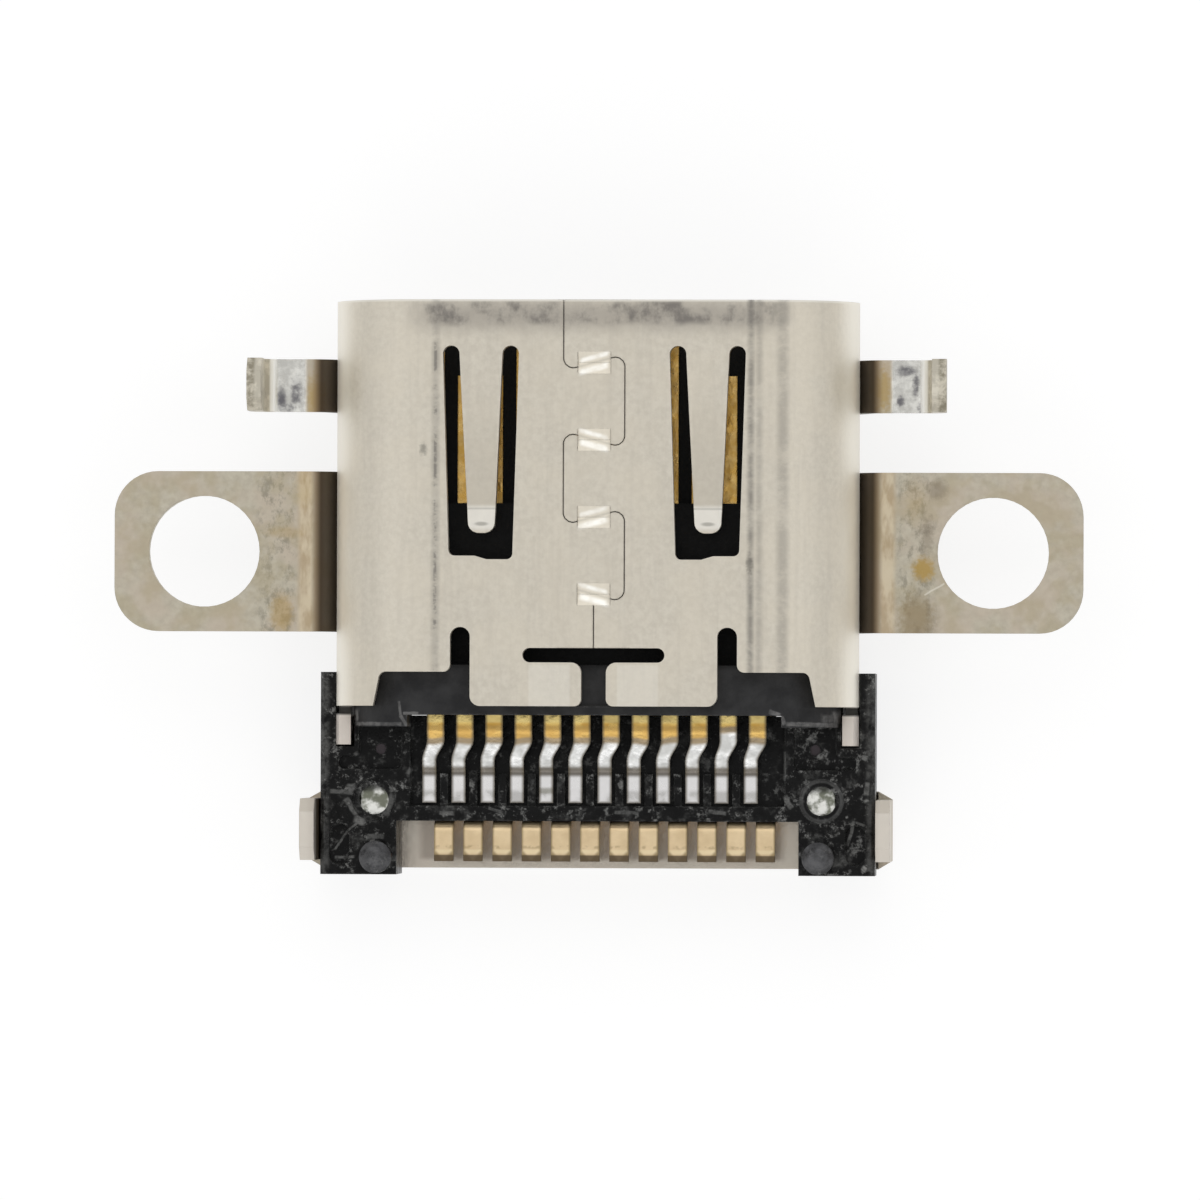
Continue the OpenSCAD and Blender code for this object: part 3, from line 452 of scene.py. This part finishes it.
COVER_DARK = (0.51, 0.465, 0.37)
COVER_LIGHT = (0.61, 0.565, 0.46)
COVER_CLOUD = (0.60, 0.51, 0.41)
FLECK_GREY = (0.24, 0.22, 0.17)
YELLOW_CAST = (0.44, 0.37, 0.22)
TAN_DARK = (0.50, 0.38, 0.235)
TAN_LIGHT = (0.74, 0.63, 0.45)
FLUX_AMBER = (0.47, 0.31, 0.085)
SMOKE_BROWN = (0.22, 0.18, 0.13)
SCRATCH_LIGHT = (0.80, 0.76, 0.66)
BEND_SHADE_BROWN = (0.22, 0.15, 0.08)
CREASE_SHADE = (0.045, 0.03, 0.018)
SOLDER_LIGHT = (0.93, 0.92, 0.87)
SOLDER_DULL = (0.68, 0.67, 0.63)
SOLDER_MARK = (0.17, 0.165, 0.18)
TIP_LIGHT = (0.70, 0.65, 0.54)
TIP_SPECK = (0.32, 0.29, 0.22)
TIP_TURN = (0.90, 0.85, 0.73)
LEG_BEND_HIGHLIGHT = (0.97, 0.96, 0.91)
PLATE_PAINTED_LIGHT = (0.74, 0.68, 0.60)
PLATE_SHADE = (0.24, 0.19, 0.155)
REAR_LEG_TOP_HIGHLIGHT = (0.78, 0.73, 0.66)

# Amber flux on the ears and on the front legs beside the shell, with rows as in SHELL_SPECKS
FLUX_STAINS = (
    ((5.56, -0.28, 0.0), 0.19, 0.5, (1.1, 1.0, 0.4), 0.22, 1.25),
    ((5.42, -1.12, 0.0), 0.26, 0.6, (1, 0.8, 0.4), 0.3, 0.5),
    ((5.40, 0.96, 0.0), 0.16, 0.7, (1, 0.6, 0.4), 0.2, 0.3),
    ((-5.42, -1.05, 0.0), 0.24, 0.5, (1.3, 0.8, 0.4), 0.2, 0.75),
    ((-5.38, 0.32, 0.0), 0.22, 0.6, (0.8, 2.4, 0.4), 0.2, 0.4),
    ((-5.05, 1.1, 0.0), 0.2, 0.6, (1.4, 0.6, 0.4), 0.2, 0.35),
    ((-4.85, 2.62, -0.3), 0.19, 0.6, (1.2, 0.5, 0.2), 0.2, 1.0),
    ((4.87, 2.78, -0.3), 0.19, 0.6, (1.2, 0.5, 0.2), 0.25, 1.0),
)

# Brown smoke stains on the +X ear, with rows as in SHELL_SPECKS
SMOKE_STAINS = (
    ((5.80, 1.08, 0.0), 0.17, 0.5, (1, 1, 0.4), 0.2, 0.45),
    ((5.62, 0.3, 0.0), 0.16, 0.6, (1.6, 0.5, 0.4), 0.3, 0.45),
    ((5.45, -1.15, 0.0), 0.3, 0.6, (1.0, 0.7, 0.4), 0.3, 0.45),
)

# Dark marks in the front legs' solder: x, y, radius and squeeze
SOLDER_MARKS = (
    (-5.43, 2.58, 0.13, (1.8, 0.7, 0.3)),
    (-5.18, 2.72, 0.13, (1.6, 0.6, 0.3)),
    (-5.3, 2.46, 0.08, (0.8, 1.2, 0.3)),
    (5.26, 3.1, 0.13, (0.8, 1.5, 0.3)),
    (5.42, 2.86, 0.09, (1.8, 0.5, 0.3)),
    (5.5, 2.47, 0.06, (1.2, 0.8, 0.3)),
    (5.16, 2.58, 0.07, (1.2, 0.8, 0.3)),
)

EAR_SCRATCH = ((5.58, -0.72), (5.92, -0.52), 0.018)


def cover_sheet(g, grain):
    """Duller sheet with warm clouds."""
    cloud = g.noise(0.9, 3.0, 0.6)
    color = g.mix(g.fade(grain, 0.25, 0.75), COVER_DARK, COVER_LIGHT)
    return g.mix(g.fade(cloud, 0.4, 0.62, 0.0, 0.6), color, COVER_CLOUD)


def worn_ears(g, color, out):
    """Grey flecks beside the bend, a yellower cast in places, and a tan line at the bend."""
    ears = g.band(g.y, -EAR_HALF - 0.1, EAR_HALF + 0.1, 0.02)
    flecks = g.fade(g.noise(4.0, 5.0, 0.75, (1.3, 0.8, 1)), 0.46, 0.64)
    flecks = g.times(flecks, g.band(out, bend_x + 0.30, bend_x + 0.95, 0.14), ears)
    color = g.paint(color, flecks, 0.62, FLECK_GREY)
    cast = g.times(g.fade(g.noise(1.6, 3.0, 0.6, shift=(5, 2, 0)), 0.42, 0.62), ears)
    color = g.paint(color, cast, 0.4, YELLOW_CAST)
    tan = g.times(g.band(out, bend_x, bend_x + 0.25, 0.06), ears)
    patchy = g.noise(2.6, 3.0, 0.6, (1.6, 0.6, 1))
    tan_color = g.mix(g.fade(patchy, 0.38, 0.62), TAN_DARK, TAN_LIGHT)
    return g.paint(color, tan, 0.75, tan_color)


def stained_ears(g, color):
    """Flux stains, smoke stains, and a scratch on the +X ear."""
    color = g.paint(color, g.stains(FLUX_STAINS), 0.7, FLUX_AMBER)
    color = g.mix(g.stains(SMOKE_STAINS), color, SMOKE_BROWN)
    return g.paint(color, g.stroke(*EAR_SCRATCH), 0.6, SCRATCH_LIGHT)


def shaded_bends(g, color, out):
    """Painted shade: brown on the bends' inner side, and near black in the crease beside the shell.
    """
    # Painted shade on the bends' inner side
    brown = g.times(g.band(out, bend_x - 0.16, bend_x, 0.06), g.fade(g.z, -0.9, -0.5))
    color = g.paint(color, brown, 0.8, BEND_SHADE_BROWN)
    # Painted shade in the crease beside the shell
    crease = g.times(g.band(out, shell_half - 0.1, bend_x - 0.08, 0.06), g.fade(g.z, -1.35, -0.9))
    return g.paint(color, crease, 0.9, CREASE_SHADE)


def front_legs(g, color, front, flat):
    """Solder with dark marks on the legs' flats, specked tips, and painted highlights on the bends.
    """
    marks = g.most(*[g.spot((x, y, 0.0), radius, 0.6, squeeze, 0.12)
                     for x, y, radius, squeeze in SOLDER_MARKS])
    uneven = g.fade(g.noise(3.6, 4.0, 0.7), 0.35, 0.6)
    solder = g.mix(uneven, SOLDER_LIGHT, SOLDER_DULL)
    solder = g.mix(g.times(marks, g.blend(0.4, uneven, 0.9)), solder, SOLDER_MARK)
    color = g.mix(flat, color, solder)
    specks = g.fade(g.noise(3.4, 4.0, 0.7), 0.38, 0.60)
    turned = g.band(g.side, LEG_REACH - 0.36, LEG_REACH - 0.13, 0.03)
    tip_color = g.paint(g.mix(specks, TIP_LIGHT, TIP_SPECK), turned, 0.45, TIP_TURN)
    tips = g.times(front, g.fade(g.side, LEG_REACH - 0.36, LEG_REACH - 0.32))
    color = g.mix(tips, color, tip_color)
    # A painted highlight along each leg's bend
    bend_line = g.times(front, g.band(g.side, LEG_REACH - 0.45, LEG_REACH - 0.33, 0.02))
    return g.paint(color, bend_line, 0.9, LEG_BEND_HIGHLIGHT)


def cover_rear(g, color, plate):
    """The plate behind the housing with painted light over it, painted shade round the far feet,
    and painted light on the rear legs' tops."""
    behind = g.times(plate, g.fade(g.y, -4.3, -4.5))
    # Painted light on the plate behind the housing
    color = g.paint(color, behind, 0.6, PLATE_PAINTED_LIGHT)
    shaded = g.times(g.below(g.side, 3.12, 0.1), g.band(g.y, -5.27, -4.4, 0.05))
    # Painted shade round the far feet
    color = g.paint(color, shaded, 0.55, PLATE_SHADE)
    rear = g.fade(g.y, -4.0, -4.2)
    tops = g.times(rear, g.fade(g.side, 4.7, 4.8), g.fade(g.z, 0.4, 0.8))
    # Painted light on the rear legs' tops
    return g.paint(color, tops, 0.8, REAR_LEG_TOP_HIGHLIGHT)


def cover_steel():
    """Duller plated sheet: flecks and flux stains by the bends, solder on the front legs."""
    g = Graph("cover_steel")
    grain = g.noise(8.0, 4.0, 0.6)
    out = g.math("ABSOLUTE", g.math("ADD", g.x, BEND_SHIFT))
    front = g.fade(g.y, EAR_HALF + 0.3, EAR_HALF + 0.5)
    flat = g.times(front, g.band(g.side, LEG_FLAT_START, LEG_FLAT_END, 0.04))
    plate = g.fade(g.z, PLATE_Z + 0.1, PLATE_Z - 0.1)
    color = cover_sheet(g, grain)
    color = worn_ears(g, color, out)
    color = stained_ears(g, color)
    color = shaded_bends(g, color, out)
    color = front_legs(g, color, front, flat)
    color = cover_rear(g, color, plate)
    # The solder is lumpier and, like the plate, glossier than the rest
    roughness = g.blend(g.most(flat, plate), g.fade(grain, 0.3, 0.7, 0.38, 0.48), 0.22)
    height = g.math("MULTIPLY_ADD", g.times(flat, g.noise(2.4, 3.0)), 9.0, grain)
    return g.finish(color, roughness, 0.75, g.bump(height, 0.0035, 0.02))


# ------------------------------------------------------------------ the mouldings' materials

TONGUE_DARK = (0.005, 0.005, 0.005)
TONGUE_LIGHT = (0.009, 0.009, 0.009)
LEDGE_DARK = (0.018, 0.018, 0.019)
LEDGE_LIGHT = (0.036, 0.036, 0.037)
LEDGE_SCUFF_AND_HIGHLIGHT = (0.27, 0.265, 0.26)
HOUSING_DARK = (0.003, 0.003, 0.003)
HOUSING_LIGHT = (0.007, 0.007, 0.007)
HOUSING_SCUFF_AND_HIGHLIGHT = (0.29, 0.29, 0.28)
EYE_RIM_HIGHLIGHT = (0.235, 0.235, 0.23)
PEG_GREY = (0.12, 0.12, 0.125)

# Scuffs and painted edge highlights on the ledge behind the shell: from, to, width and strength
LEDGE_SCUFFS_AND_HIGHLIGHTS = (
    ((-4.16, -2.94), (-3.28, -2.95), 0.035, 0.5),
    ((-4.12, -2.70), (-4.13, -2.90), 0.08, 0.8),
    ((-3.32, -2.56), (-3.30, -2.80), 0.03, 0.4),
    ((-3.30, -2.80), (-3.18, -2.99), 0.035, 0.45),
    ((-3.25, -2.77), (-2.99, -2.76), 0.03, 0.5),
    ((3.26, -2.93), (4.12, -2.95), 0.045, 0.6),
    ((4.10, -2.72), (4.12, -2.92), 0.08, 0.75),
    ((3.86, -2.84), (4.06, -2.82), 0.09, 0.4),
    ((2.98, -2.72), (3.16, -2.78), 0.05, 0.55),
    ((3.18, -2.80), (3.24, -2.94), 0.04, 0.5),
)

# Scuffs and painted highlights on the rear housing, with rows as in the ledge's table above
HOUSING_SCUFFS_AND_HIGHLIGHTS = (
    # -X lug: smears beside the eye, a diagonal scratch, marks round the peg, and a painted highlight
    # on the rounded outer edge
    ((-4.58, -4.10), (-4.18, -4.12), 0.05, 0.36),
    ((-4.28, -4.05), (-4.14, -4.02), 0.07, 0.45),
    ((-4.30, -4.22), (-4.12, -4.50), 0.06, 0.42),
    ((-4.16, -4.58), (-3.98, -4.62), 0.07, 0.62),
    ((-4.50, -5.10), (-4.28, -4.78), 0.025, 0.50),
    ((-4.28, -4.78), (-4.06, -4.60), 0.025, 0.45),
    ((-4.50, -5.24), (-4.16, -5.22), 0.03, 0.55),
    ((-3.50, -4.14), (-3.62, -4.52), 0.08, 0.40),
    ((-3.94, -4.86), (-3.66, -4.88), 0.05, 0.42),
    ((-4.16, -3.48), (-4.10, -3.44), 0.04, 0.38),
    ((-4.70, -4.50), (-4.68, -5.00), 0.035, 0.35),
    ((-3.26, -3.80), (-3.20, -3.70), 0.05, 0.4),
    ((-4.12, -4.98), (-4.08, -5.04), 0.04, 0.32),
    # +X lug: a painted highlight along a curved ridge, a bright speck at the corner, and flecks
    ((4.38, -4.58), (4.33, -4.80), 0.035, 0.60),
    ((4.33, -4.80), (4.27, -5.00), 0.035, 0.52),
    ((4.42, -4.60), (4.58, -4.66), 0.025, 0.35),
    ((4.53, -5.38), (4.60, -5.42), 0.05, 0.95),
    ((4.26, -4.50), (4.27, -4.53), 0.03, 0.8),
    ((4.58, -4.22), (4.60, -4.26), 0.05, 0.9),
    ((4.62, -3.92), (4.60, -4.14), 0.05, 0.48),
    ((4.52, -3.48), (4.62, -3.52), 0.05, 0.5),
    ((3.20, -4.16), (3.32, -4.36), 0.05, 0.50),
    ((3.20, -3.40), (3.20, -3.90), 0.025, 0.36),
    ((4.30, -5.44), (4.34, -5.42), 0.03, 0.5),
    ((3.95, -3.55), (3.92, -3.62), 0.03, 0.35),
    # The bar between the rows of feet
    ((-2.70, -4.46), (-2.45, -4.48), 0.04, 0.42),
    ((-1.86, -4.38), (-1.62, -4.46), 0.035, 0.40),
    ((0.3, -4.44), (0.7, -4.46), 0.035, 0.32),
    ((1.9, -4.42), (2.2, -4.46), 0.04, 0.38),
)


def tongue_plastic():
    """Dull black moulding, grey on the ledge behind the shell, with scuffs and painted highlights on
    its edges.
    """
    g = Graph("tongue_plastic")
    grain = g.noise(14.0, 4.0, 0.6)
    ledge = g.fade(g.y, -1.9, -2.05)
    worn = g.fade(g.noise(3.6, 4.0, 0.7), 0.36, 0.62)
    color = g.mix(g.fade(grain, 0.3, 0.7), TONGUE_DARK, TONGUE_LIGHT)
    bloom = g.mix(g.fade(g.noise(2.4, 4.0), 0.3, 0.7), LEDGE_DARK, LEDGE_LIGHT)
    color = g.mix(ledge, color, bloom)
    # Painted highlights on the ledge's edges, broken up
    rim = g.times(g.edges(0.035), worn, ledge, 0.5)
    scuffs = g.times(g.most(rim, g.scuffs(LEDGE_SCUFFS_AND_HIGHLIGHTS)), g.blend(0.35, worn, 1.0))
    color = g.mix(scuffs, color, LEDGE_SCUFF_AND_HIGHLIGHT)
    return g.finish(color, 0.5, 0.0, g.bump(grain, 0.006, 0.02), 0.16)


def housing_wear_and_highlights(g, smear):
    """The mask of the housing's wear and painted highlights: painted highlights on its edges and
    along its top's outer sides, smears and flecks on its top, and the scuffs and painted
    highlights of the table, all of them broken up."""
    on_top = g.fade(g.z, HOUSING_TOP - 0.2, HOUSING_TOP - 0.12)
    worn = g.fade(g.noise(3.4, 4.0, 0.7), 0.40, 0.62)
    flecks = g.fade(g.noise(4.6, 5.0, 0.8), 0.53, 0.66)
    outer = g.fade(g.side, housing_half - 0.19, housing_half - 0.1)
    broken = g.fade(g.noise(8.0, 4.0, 0.75), 0.34, 0.58, 0.35, 1.0)
    # Painted highlights on the edges and along the top's outer sides, with dust and scuffs
    wear = g.most(g.times(g.edges(0.04), worn, 0.42),
                  g.times(g.fade(smear, 0.52, 0.7), on_top, 0.3),
                  g.times(flecks, on_top, 0.75),
                  g.times(outer, on_top, g.fade(smear, 0.36, 0.6), 0.3),
                  g.scuffs(HOUSING_SCUFFS_AND_HIGHLIGHTS))
    return g.times(wear, broken)


def housing_plastic():
    """Glossy black moulding, dusty, scuffed on its lugs, with painted highlights along its edges."""
    g = Graph("housing_plastic")
    grain = g.noise(7.0, 4.0, 0.65)
    smear = g.noise(2.6, 5.0, 0.7)
    color = g.mix(g.fade(grain, 0.3, 0.7), HOUSING_DARK, HOUSING_LIGHT)
    # Scuffs, dust and painted highlights, in grey
    color = g.mix(housing_wear_and_highlights(g, smear), color, HOUSING_SCUFF_AND_HIGHLIGHT)
    # A painted highlight, broken up, in a ring on the rim of the +X eye
    from_eye = g.vector("MULTIPLY", g.vector("SUBTRACT", g.place, EYE), (1, 1, 0))
    ring = g.times(g.band(g.vector("LENGTH", from_eye), 0.315, 0.375, 0.018),
                   g.fade(smear, 0.30, 0.55, 0.45, 1.0))
    color = g.paint(color, ring, 0.42, EYE_RIM_HIGHLIGHT)
    # Grey tops of the locating pegs
    pegs = g.fade(g.z, HOUSING_TOP + 0.30, HOUSING_TOP + 0.36)
    color = g.mix(g.times(pegs, g.fade(smear, 0.35, 0.65, 0.35, 1.0)), color, PEG_GREY)
    height = g.math("MULTIPLY_ADD", smear, 1.5, grain)
    roughness = g.fade(smear, 0.3, 0.7, 0.22, 0.42)
    return g.finish(color, roughness, 0.0, g.bump(height, 0.012, 0.035), 0.14)


# ------------------------------------------------------------------ the inner metals' materials

BARE_STEEL = (1.0, 1.0, 0.95)
TARNISH = (0.22, 0.23, 0.18)
WINDOW_BROWN = (0.17, 0.125, 0.145)
GOLD_DARK = (0.83, 0.50, 0.12)
GOLD_LIGHT = (0.95, 0.64, 0.23)
LEAD_GOLD_DARK = (0.84, 0.49, 0.10)
LEAD_GOLD_LIGHT = (1.0, 0.70, 0.22)
LEAD_SHINE = (1.0, 0.80, 0.33)
LEAD_BROWN_SHADE = (0.60, 0.38, 0.12)
LEAD_SIDE_SHADE = (0.12, 0.10, 0.07)
TIN_DARK = (0.62, 0.62, 0.60)
TIN_LIGHT = (0.92, 0.92, 0.91)
FOOT_BRIGHT = (1.0, 0.98, 0.98)
FOOT_END_GREY = (0.50, 0.49, 0.47)
FOOT_CREASE_SHADE = (0.13, 0.11, 0.085)
FOOT_DULL = (0.30, 0.29, 0.24)
SOLDER_LINE = (0.36, 0.28, 0.18)
PALE_GOLD_DARK = (0.74, 0.57, 0.345)
PALE_GOLD_LIGHT = (0.86, 0.68, 0.43)
PALE_GOLD_EDGE = (0.98, 0.86, 0.58)
FOOT_SHADE_BROWN = (0.30, 0.22, 0.11)
FOOT_END_SHADE = (0.11, 0.08, 0.05)


def mid_plate_steel():
    """Bright bare sheet, tarnished in patches and purple-brown under the small windows, with painted
    shade from the round eye's upper part toward the mouth.
    """
    g = Graph("mid_plate_steel")
    grain = g.noise(4.2, 4.0)
    color = g.mix(g.fade(grain, 0.40, 0.58), TARNISH, BARE_STEEL)
    color = g.mix(g.fade(g.y, -3.75, -3.65), color, WINDOW_BROWN)
    # Painted shade on the side toward the mouth, from the round eye's upper part on, with a ragged
    # edge
    ragged_y = g.math("MULTIPLY_ADD", g.noise(5.0), 0.1, g.y)
    color = g.paint(color, g.fade(ragged_y, -4.10, -3.98), 0.8, DEEP_SHADE)
    return g.finish(color, 0.3, 0.9, g.bump(grain, 0.03, 0.03))


def gold_color(g, grain):
    return g.mix(g.fade(grain, 0.3, 0.7), GOLD_DARK, GOLD_LIGHT)


def near_gold(g, grain, patch, lead):
    """Gold on the tongue, and a richer gold on the lead with a shine and painted brown shade past
    it.
    """
    lead_gold = g.mix(g.fade(patch, 0.38, 0.62), LEAD_GOLD_DARK, LEAD_GOLD_LIGHT)
    gold = g.mix(lead, gold_color(g, grain), lead_gold)
    shine_end = LEAD_START_Y - 0.2
    shine = g.times(g.band(g.y, shine_end, LEAD_START_Y - 0.02, 0.03), lead)
    gold = g.paint(gold, shine, 0.8, LEAD_SHINE)
    # Painted shade, in brown, on the lead past the shine
    return g.paint(gold, g.fade(g.y, shine_end, shine_end - 0.08), 0.8, LEAD_BROWN_SHADE)


def near_tin(g, patch):
    """Tin on the sidestep, brighter on the foot and greyer in patches near its end."""
    tin = g.mix(g.fade(patch, 0.35, 0.65), TIN_DARK, TIN_LIGHT)
    foot = g.fade(g.y, near_foot_front + 0.02, near_foot_front - 0.02)
    tin = g.paint(tin, foot, 0.75, FOOT_BRIGHT)
    end = g.fade(g.y, near_low.y + 0.26, near_low.y + 0.16)
    return g.paint(tin, g.times(end, g.fade(patch, 0.35, 0.6)), 0.7, FOOT_END_GREY)


def near_contact_metal():
    """Gold on the tongue and the top of the lead, bright solder on the sidestep and the foot."""
    g = Graph("near_contact_metal")
    grain = g.noise(9.0, 3.0)
    patch = g.noise(3.0, 3.0)
    lead = g.fade(g.y, LEAD_START_Y + 0.02, LEAD_START_Y - 0.02)
    gold = near_gold(g, grain, patch, lead)
    tin = near_tin(g, patch)
    # Solder creeps up each lead to its own height, and highest on one of them
    climb = g.times(g.noise(1.7, 1.0, 0.5, (1, 0, 0)), 0.16)
    high_one = g.times(g.band(g.x, 2.0, 2.5, 0.03), 0.2)
    line = g.math("SUBTRACT", g.math("ADD", g.y, climb), high_one)
    tin = g.mix(g.fade(line, SOLDER_Y - 0.15, SOLDER_Y - 0.07), tin, SOLDER_LINE)
    color = g.mix(g.fade(line, SOLDER_Y - 0.03, SOLDER_Y + 0.03), tin, gold)
    # Painted shade in the crease before each foot, and one foot that is duller than the others
    crease = g.band(g.y, near_foot_front - 0.09, near_foot_front + 0.07, 0.04)
    color = g.paint(color, crease, 0.9, FOOT_CREASE_SHADE)
    dull = g.times(g.band(g.x, -1.1, -0.7, 0.02), g.band(g.y, -4.13, -4.03, 0.03))
    color = g.paint(color, dull, 0.7, FOOT_DULL)
    # Painted shade along each lead's and foot's sides and at the foot's end
    step = g.fade(g.y, STEP_Y, STEP_Y - STEP_LEN, 0.0, SIDESTEP)
    half = g.fade(g.y, STEP_Y, STEP_Y - STEP_LEN, 0.15, 0.12)
    sides = g.fade(g.math("SUBTRACT", g.aside(first_lead_x, step), half), -0.06, 0.0)
    sides = g.times(g.most(sides, g.fade(g.y, near_low.y + 0.05, near_low.y)), lead)
    color = g.paint(color, sides, 0.85, LEAD_SIDE_SHADE)
    return g.finish(color, g.fade(patch, 0.3, 0.7, 0.36, 0.22), 0.9, g.bump(patch, 0.02, 0.03))


def far_contact_metal():
    """Gold on the tongue, a paler matte gold on the foot, and painted shade at the foot's end."""
    g = Graph("far_contact_metal")
    grain = g.noise(9.0, 3.0)
    cloud = g.noise(2.6, 4.0, 0.6)
    pale = g.mix(g.fade(cloud, 0.3, 0.7), PALE_GOLD_DARK, PALE_GOLD_LIGHT)
    edge_line = g.band(g.y, far_low.y + 0.14, far_low.y + 0.20, 0.015)
    pale = g.paint(pale, edge_line, 0.4, PALE_GOLD_EDGE)
    # Painted shade in a small dimple across each foot
    dimple = g.times(g.band(g.y, far_low.y + 0.22, far_low.y + 0.27, 0.02), g.fade(grain, 0.45, 0.6))
    pale = g.paint(pale, dimple, 0.45, FOOT_SHADE_BROWN)
    # Painted shade, in brown, down the sides and across the corners
    side = g.aside(first_lead_x + SIDESTEP)
    corner = g.math("ADD", g.times(side, 1.2), g.math("SUBTRACT", far_low.y + 0.13, g.y))
    rim = g.most(g.fade(side, 0.12, 0.165), g.fade(corner, 0.07, 0.17))
    pale = g.paint(pale, rim, 0.8, FOOT_SHADE_BROWN)
    color = g.mix(g.fade(g.y, -3.0, -2.6), pale, gold_color(g, grain))
    # Painted shade at the foot's end
    end_shade = g.fade(g.y, far_low.y + 0.125, far_low.y + 0.095)
    color = g.paint(color, end_shade, 0.9, FOOT_END_SHADE)
    return g.finish(color, 0.45, 0.85, g.bump(grain, 0.006, 0.03))


dress(["shell"], shell_steel())
dress(["cover_bracket"], cover_steel())
dress(["tongue_moulding"], tongue_plastic())
dress(["mid_plate"], mid_plate_steel())
dress(["rear_housing"], housing_plastic())
dress(NEAR_CONTACTS, near_contact_metal())
dress(FAR_CONTACTS, far_contact_metal())


# ------------------------------------------------------------------ stage, light and camera

FLOOR_GREY = (0.93, 0.93, 0.93)
WHITE = (1.0, 1.0, 1.0)
# The share of the floor that glows where it is seen, while the rest takes light and shadow
FLOOR_GLOW_SHARE = 0.73
# What the glow has above a strength of 1 for the camera, to make up for the grey of the rest
FLOOR_GLOW_LIFT = 0.09


def floor_white():
    """White to the camera and in reflections, and a plain pale floor to the light, so that the
    part's shadow still shows on it."""
    g = Graph("floor_white")
    ray = g.node("ShaderNodeLightPath").outputs
    seen = g.most(ray["Is Camera Ray"], ray["Is Glossy Ray"], ray["Is Transmission Ray"])
    plain = g.node("ShaderNodeBsdfDiffuse", Color=FLOOR_GREY)
    strength = g.math("MULTIPLY_ADD", ray["Is Camera Ray"], FLOOR_GLOW_LIFT, 1.0)
    glow = g.node("ShaderNodeEmission", Color=WHITE, Strength=strength)
    mixed = g.tree.nodes.new("ShaderNodeMixShader")
    for socket, value in zip(mixed.inputs, (g.times(seen, FLOOR_GLOW_SHARE), plain.outputs[0],
                                            glow.outputs[0])):
        g.feed(socket, value)
    return g.surface(mixed)


def make_floor(size=400.0):
    """A square floor at the part's lowest point."""
    half = size / 2 * MM
    level = cad_low.z
    corners = [(x * half, y * half, level) for x, y in ((-1, -1), (1, -1), (1, 1), (-1, 1))]
    mesh = bpy.data.meshes.new("floor")
    mesh.from_pydata(corners, [], [(0, 1, 2, 3)])
    floor = bpy.data.objects.new("floor", mesh)
    bpy.context.scene.collection.objects.link(floor)
    mesh.materials.append(floor_white())


def make_world(level=0.86):
    """An even white tent of that strength, plain white to the camera."""
    world = bpy.data.worlds.new("tent")
    world.use_nodes = True
    bpy.context.scene.world = world
    tree = world.node_tree
    tree.nodes.clear()
    ray = tree.nodes.new("ShaderNodeLightPath")
    strength = tree.nodes.new("ShaderNodeMath")
    strength.operation = "MAXIMUM"
    strength.inputs[0].default_value = level
    tree.links.new(ray.outputs["Is Camera Ray"], strength.inputs[1])
    glow = tree.nodes.new("ShaderNodeBackground")
    tree.links.new(strength.outputs[0], glow.inputs["Strength"])
    out = tree.nodes.new("ShaderNodeOutputWorld")
    tree.links.new(glow.outputs[0], out.inputs[0])


def make_panel(name, direction, size, radiance, distance=160.0):
    """A soft panel of that radiance, facing the part from a direction."""
    light = bpy.data.lights.new(name, "AREA")
    light.shape = "RECTANGLE"
    light.size, light.size_y = size[0] * MM, size[1] * MM
    light.energy = radiance * math.pi * light.size * light.size_y
    panel = bpy.data.objects.new(name, light)
    bpy.context.scene.collection.objects.link(panel)
    panel.location = Vector(direction).normalized() * distance * MM
    panel.rotation_euler = (-panel.location).to_track_quat("-Z", "Y").to_euler()


def make_camera():
    """Above the board side, a little to +X, with the mouth at the top of the picture."""
    view_width = 20.51
    distance = 190.0
    sensor = 36.0
    lean_x = math.radians(2.7)
    lean_y = math.radians(-0.7)
    roll = math.radians(0.18)
    aim = Vector((0.036, -0.8175, 0.0))
    up = Vector((0.0, 0.0, 1.0))
    direction = Vector((math.sin(lean_x), math.sin(lean_y), 1.0)).normalized()
    turn = up.rotation_difference(direction) @ Quaternion(up, roll)
    camera = bpy.data.cameras.new("camera")
    camera.sensor_width = sensor
    camera.lens = sensor * distance / view_width
    camera.clip_start = 1.0 * MM
    seen_from = bpy.data.objects.new("camera", camera)
    bpy.context.scene.collection.objects.link(seen_from)
    seen_from.location = (aim + distance * direction) * MM
    seen_from.rotation_euler = turn.to_euler()
    bpy.context.scene.camera = seen_from


PANEL_RISE = 1.1
END_PANEL = (150, 80)
SIDE_PANEL = (70, 140)

bpy.context.scene.view_settings.view_transform = "Standard"
make_floor()
make_world()
make_panel("mouth_side_panel", (0, 1, PANEL_RISE), END_PANEL, 0.9)
make_panel("rear_side_panel", (0, -1, PANEL_RISE), END_PANEL, 0.7)
make_panel("left_panel", (-1, 0, PANEL_RISE), SIDE_PANEL, 0.3)
make_panel("right_panel", (1, 0, PANEL_RISE), SIDE_PANEL, 0.3)
make_camera()
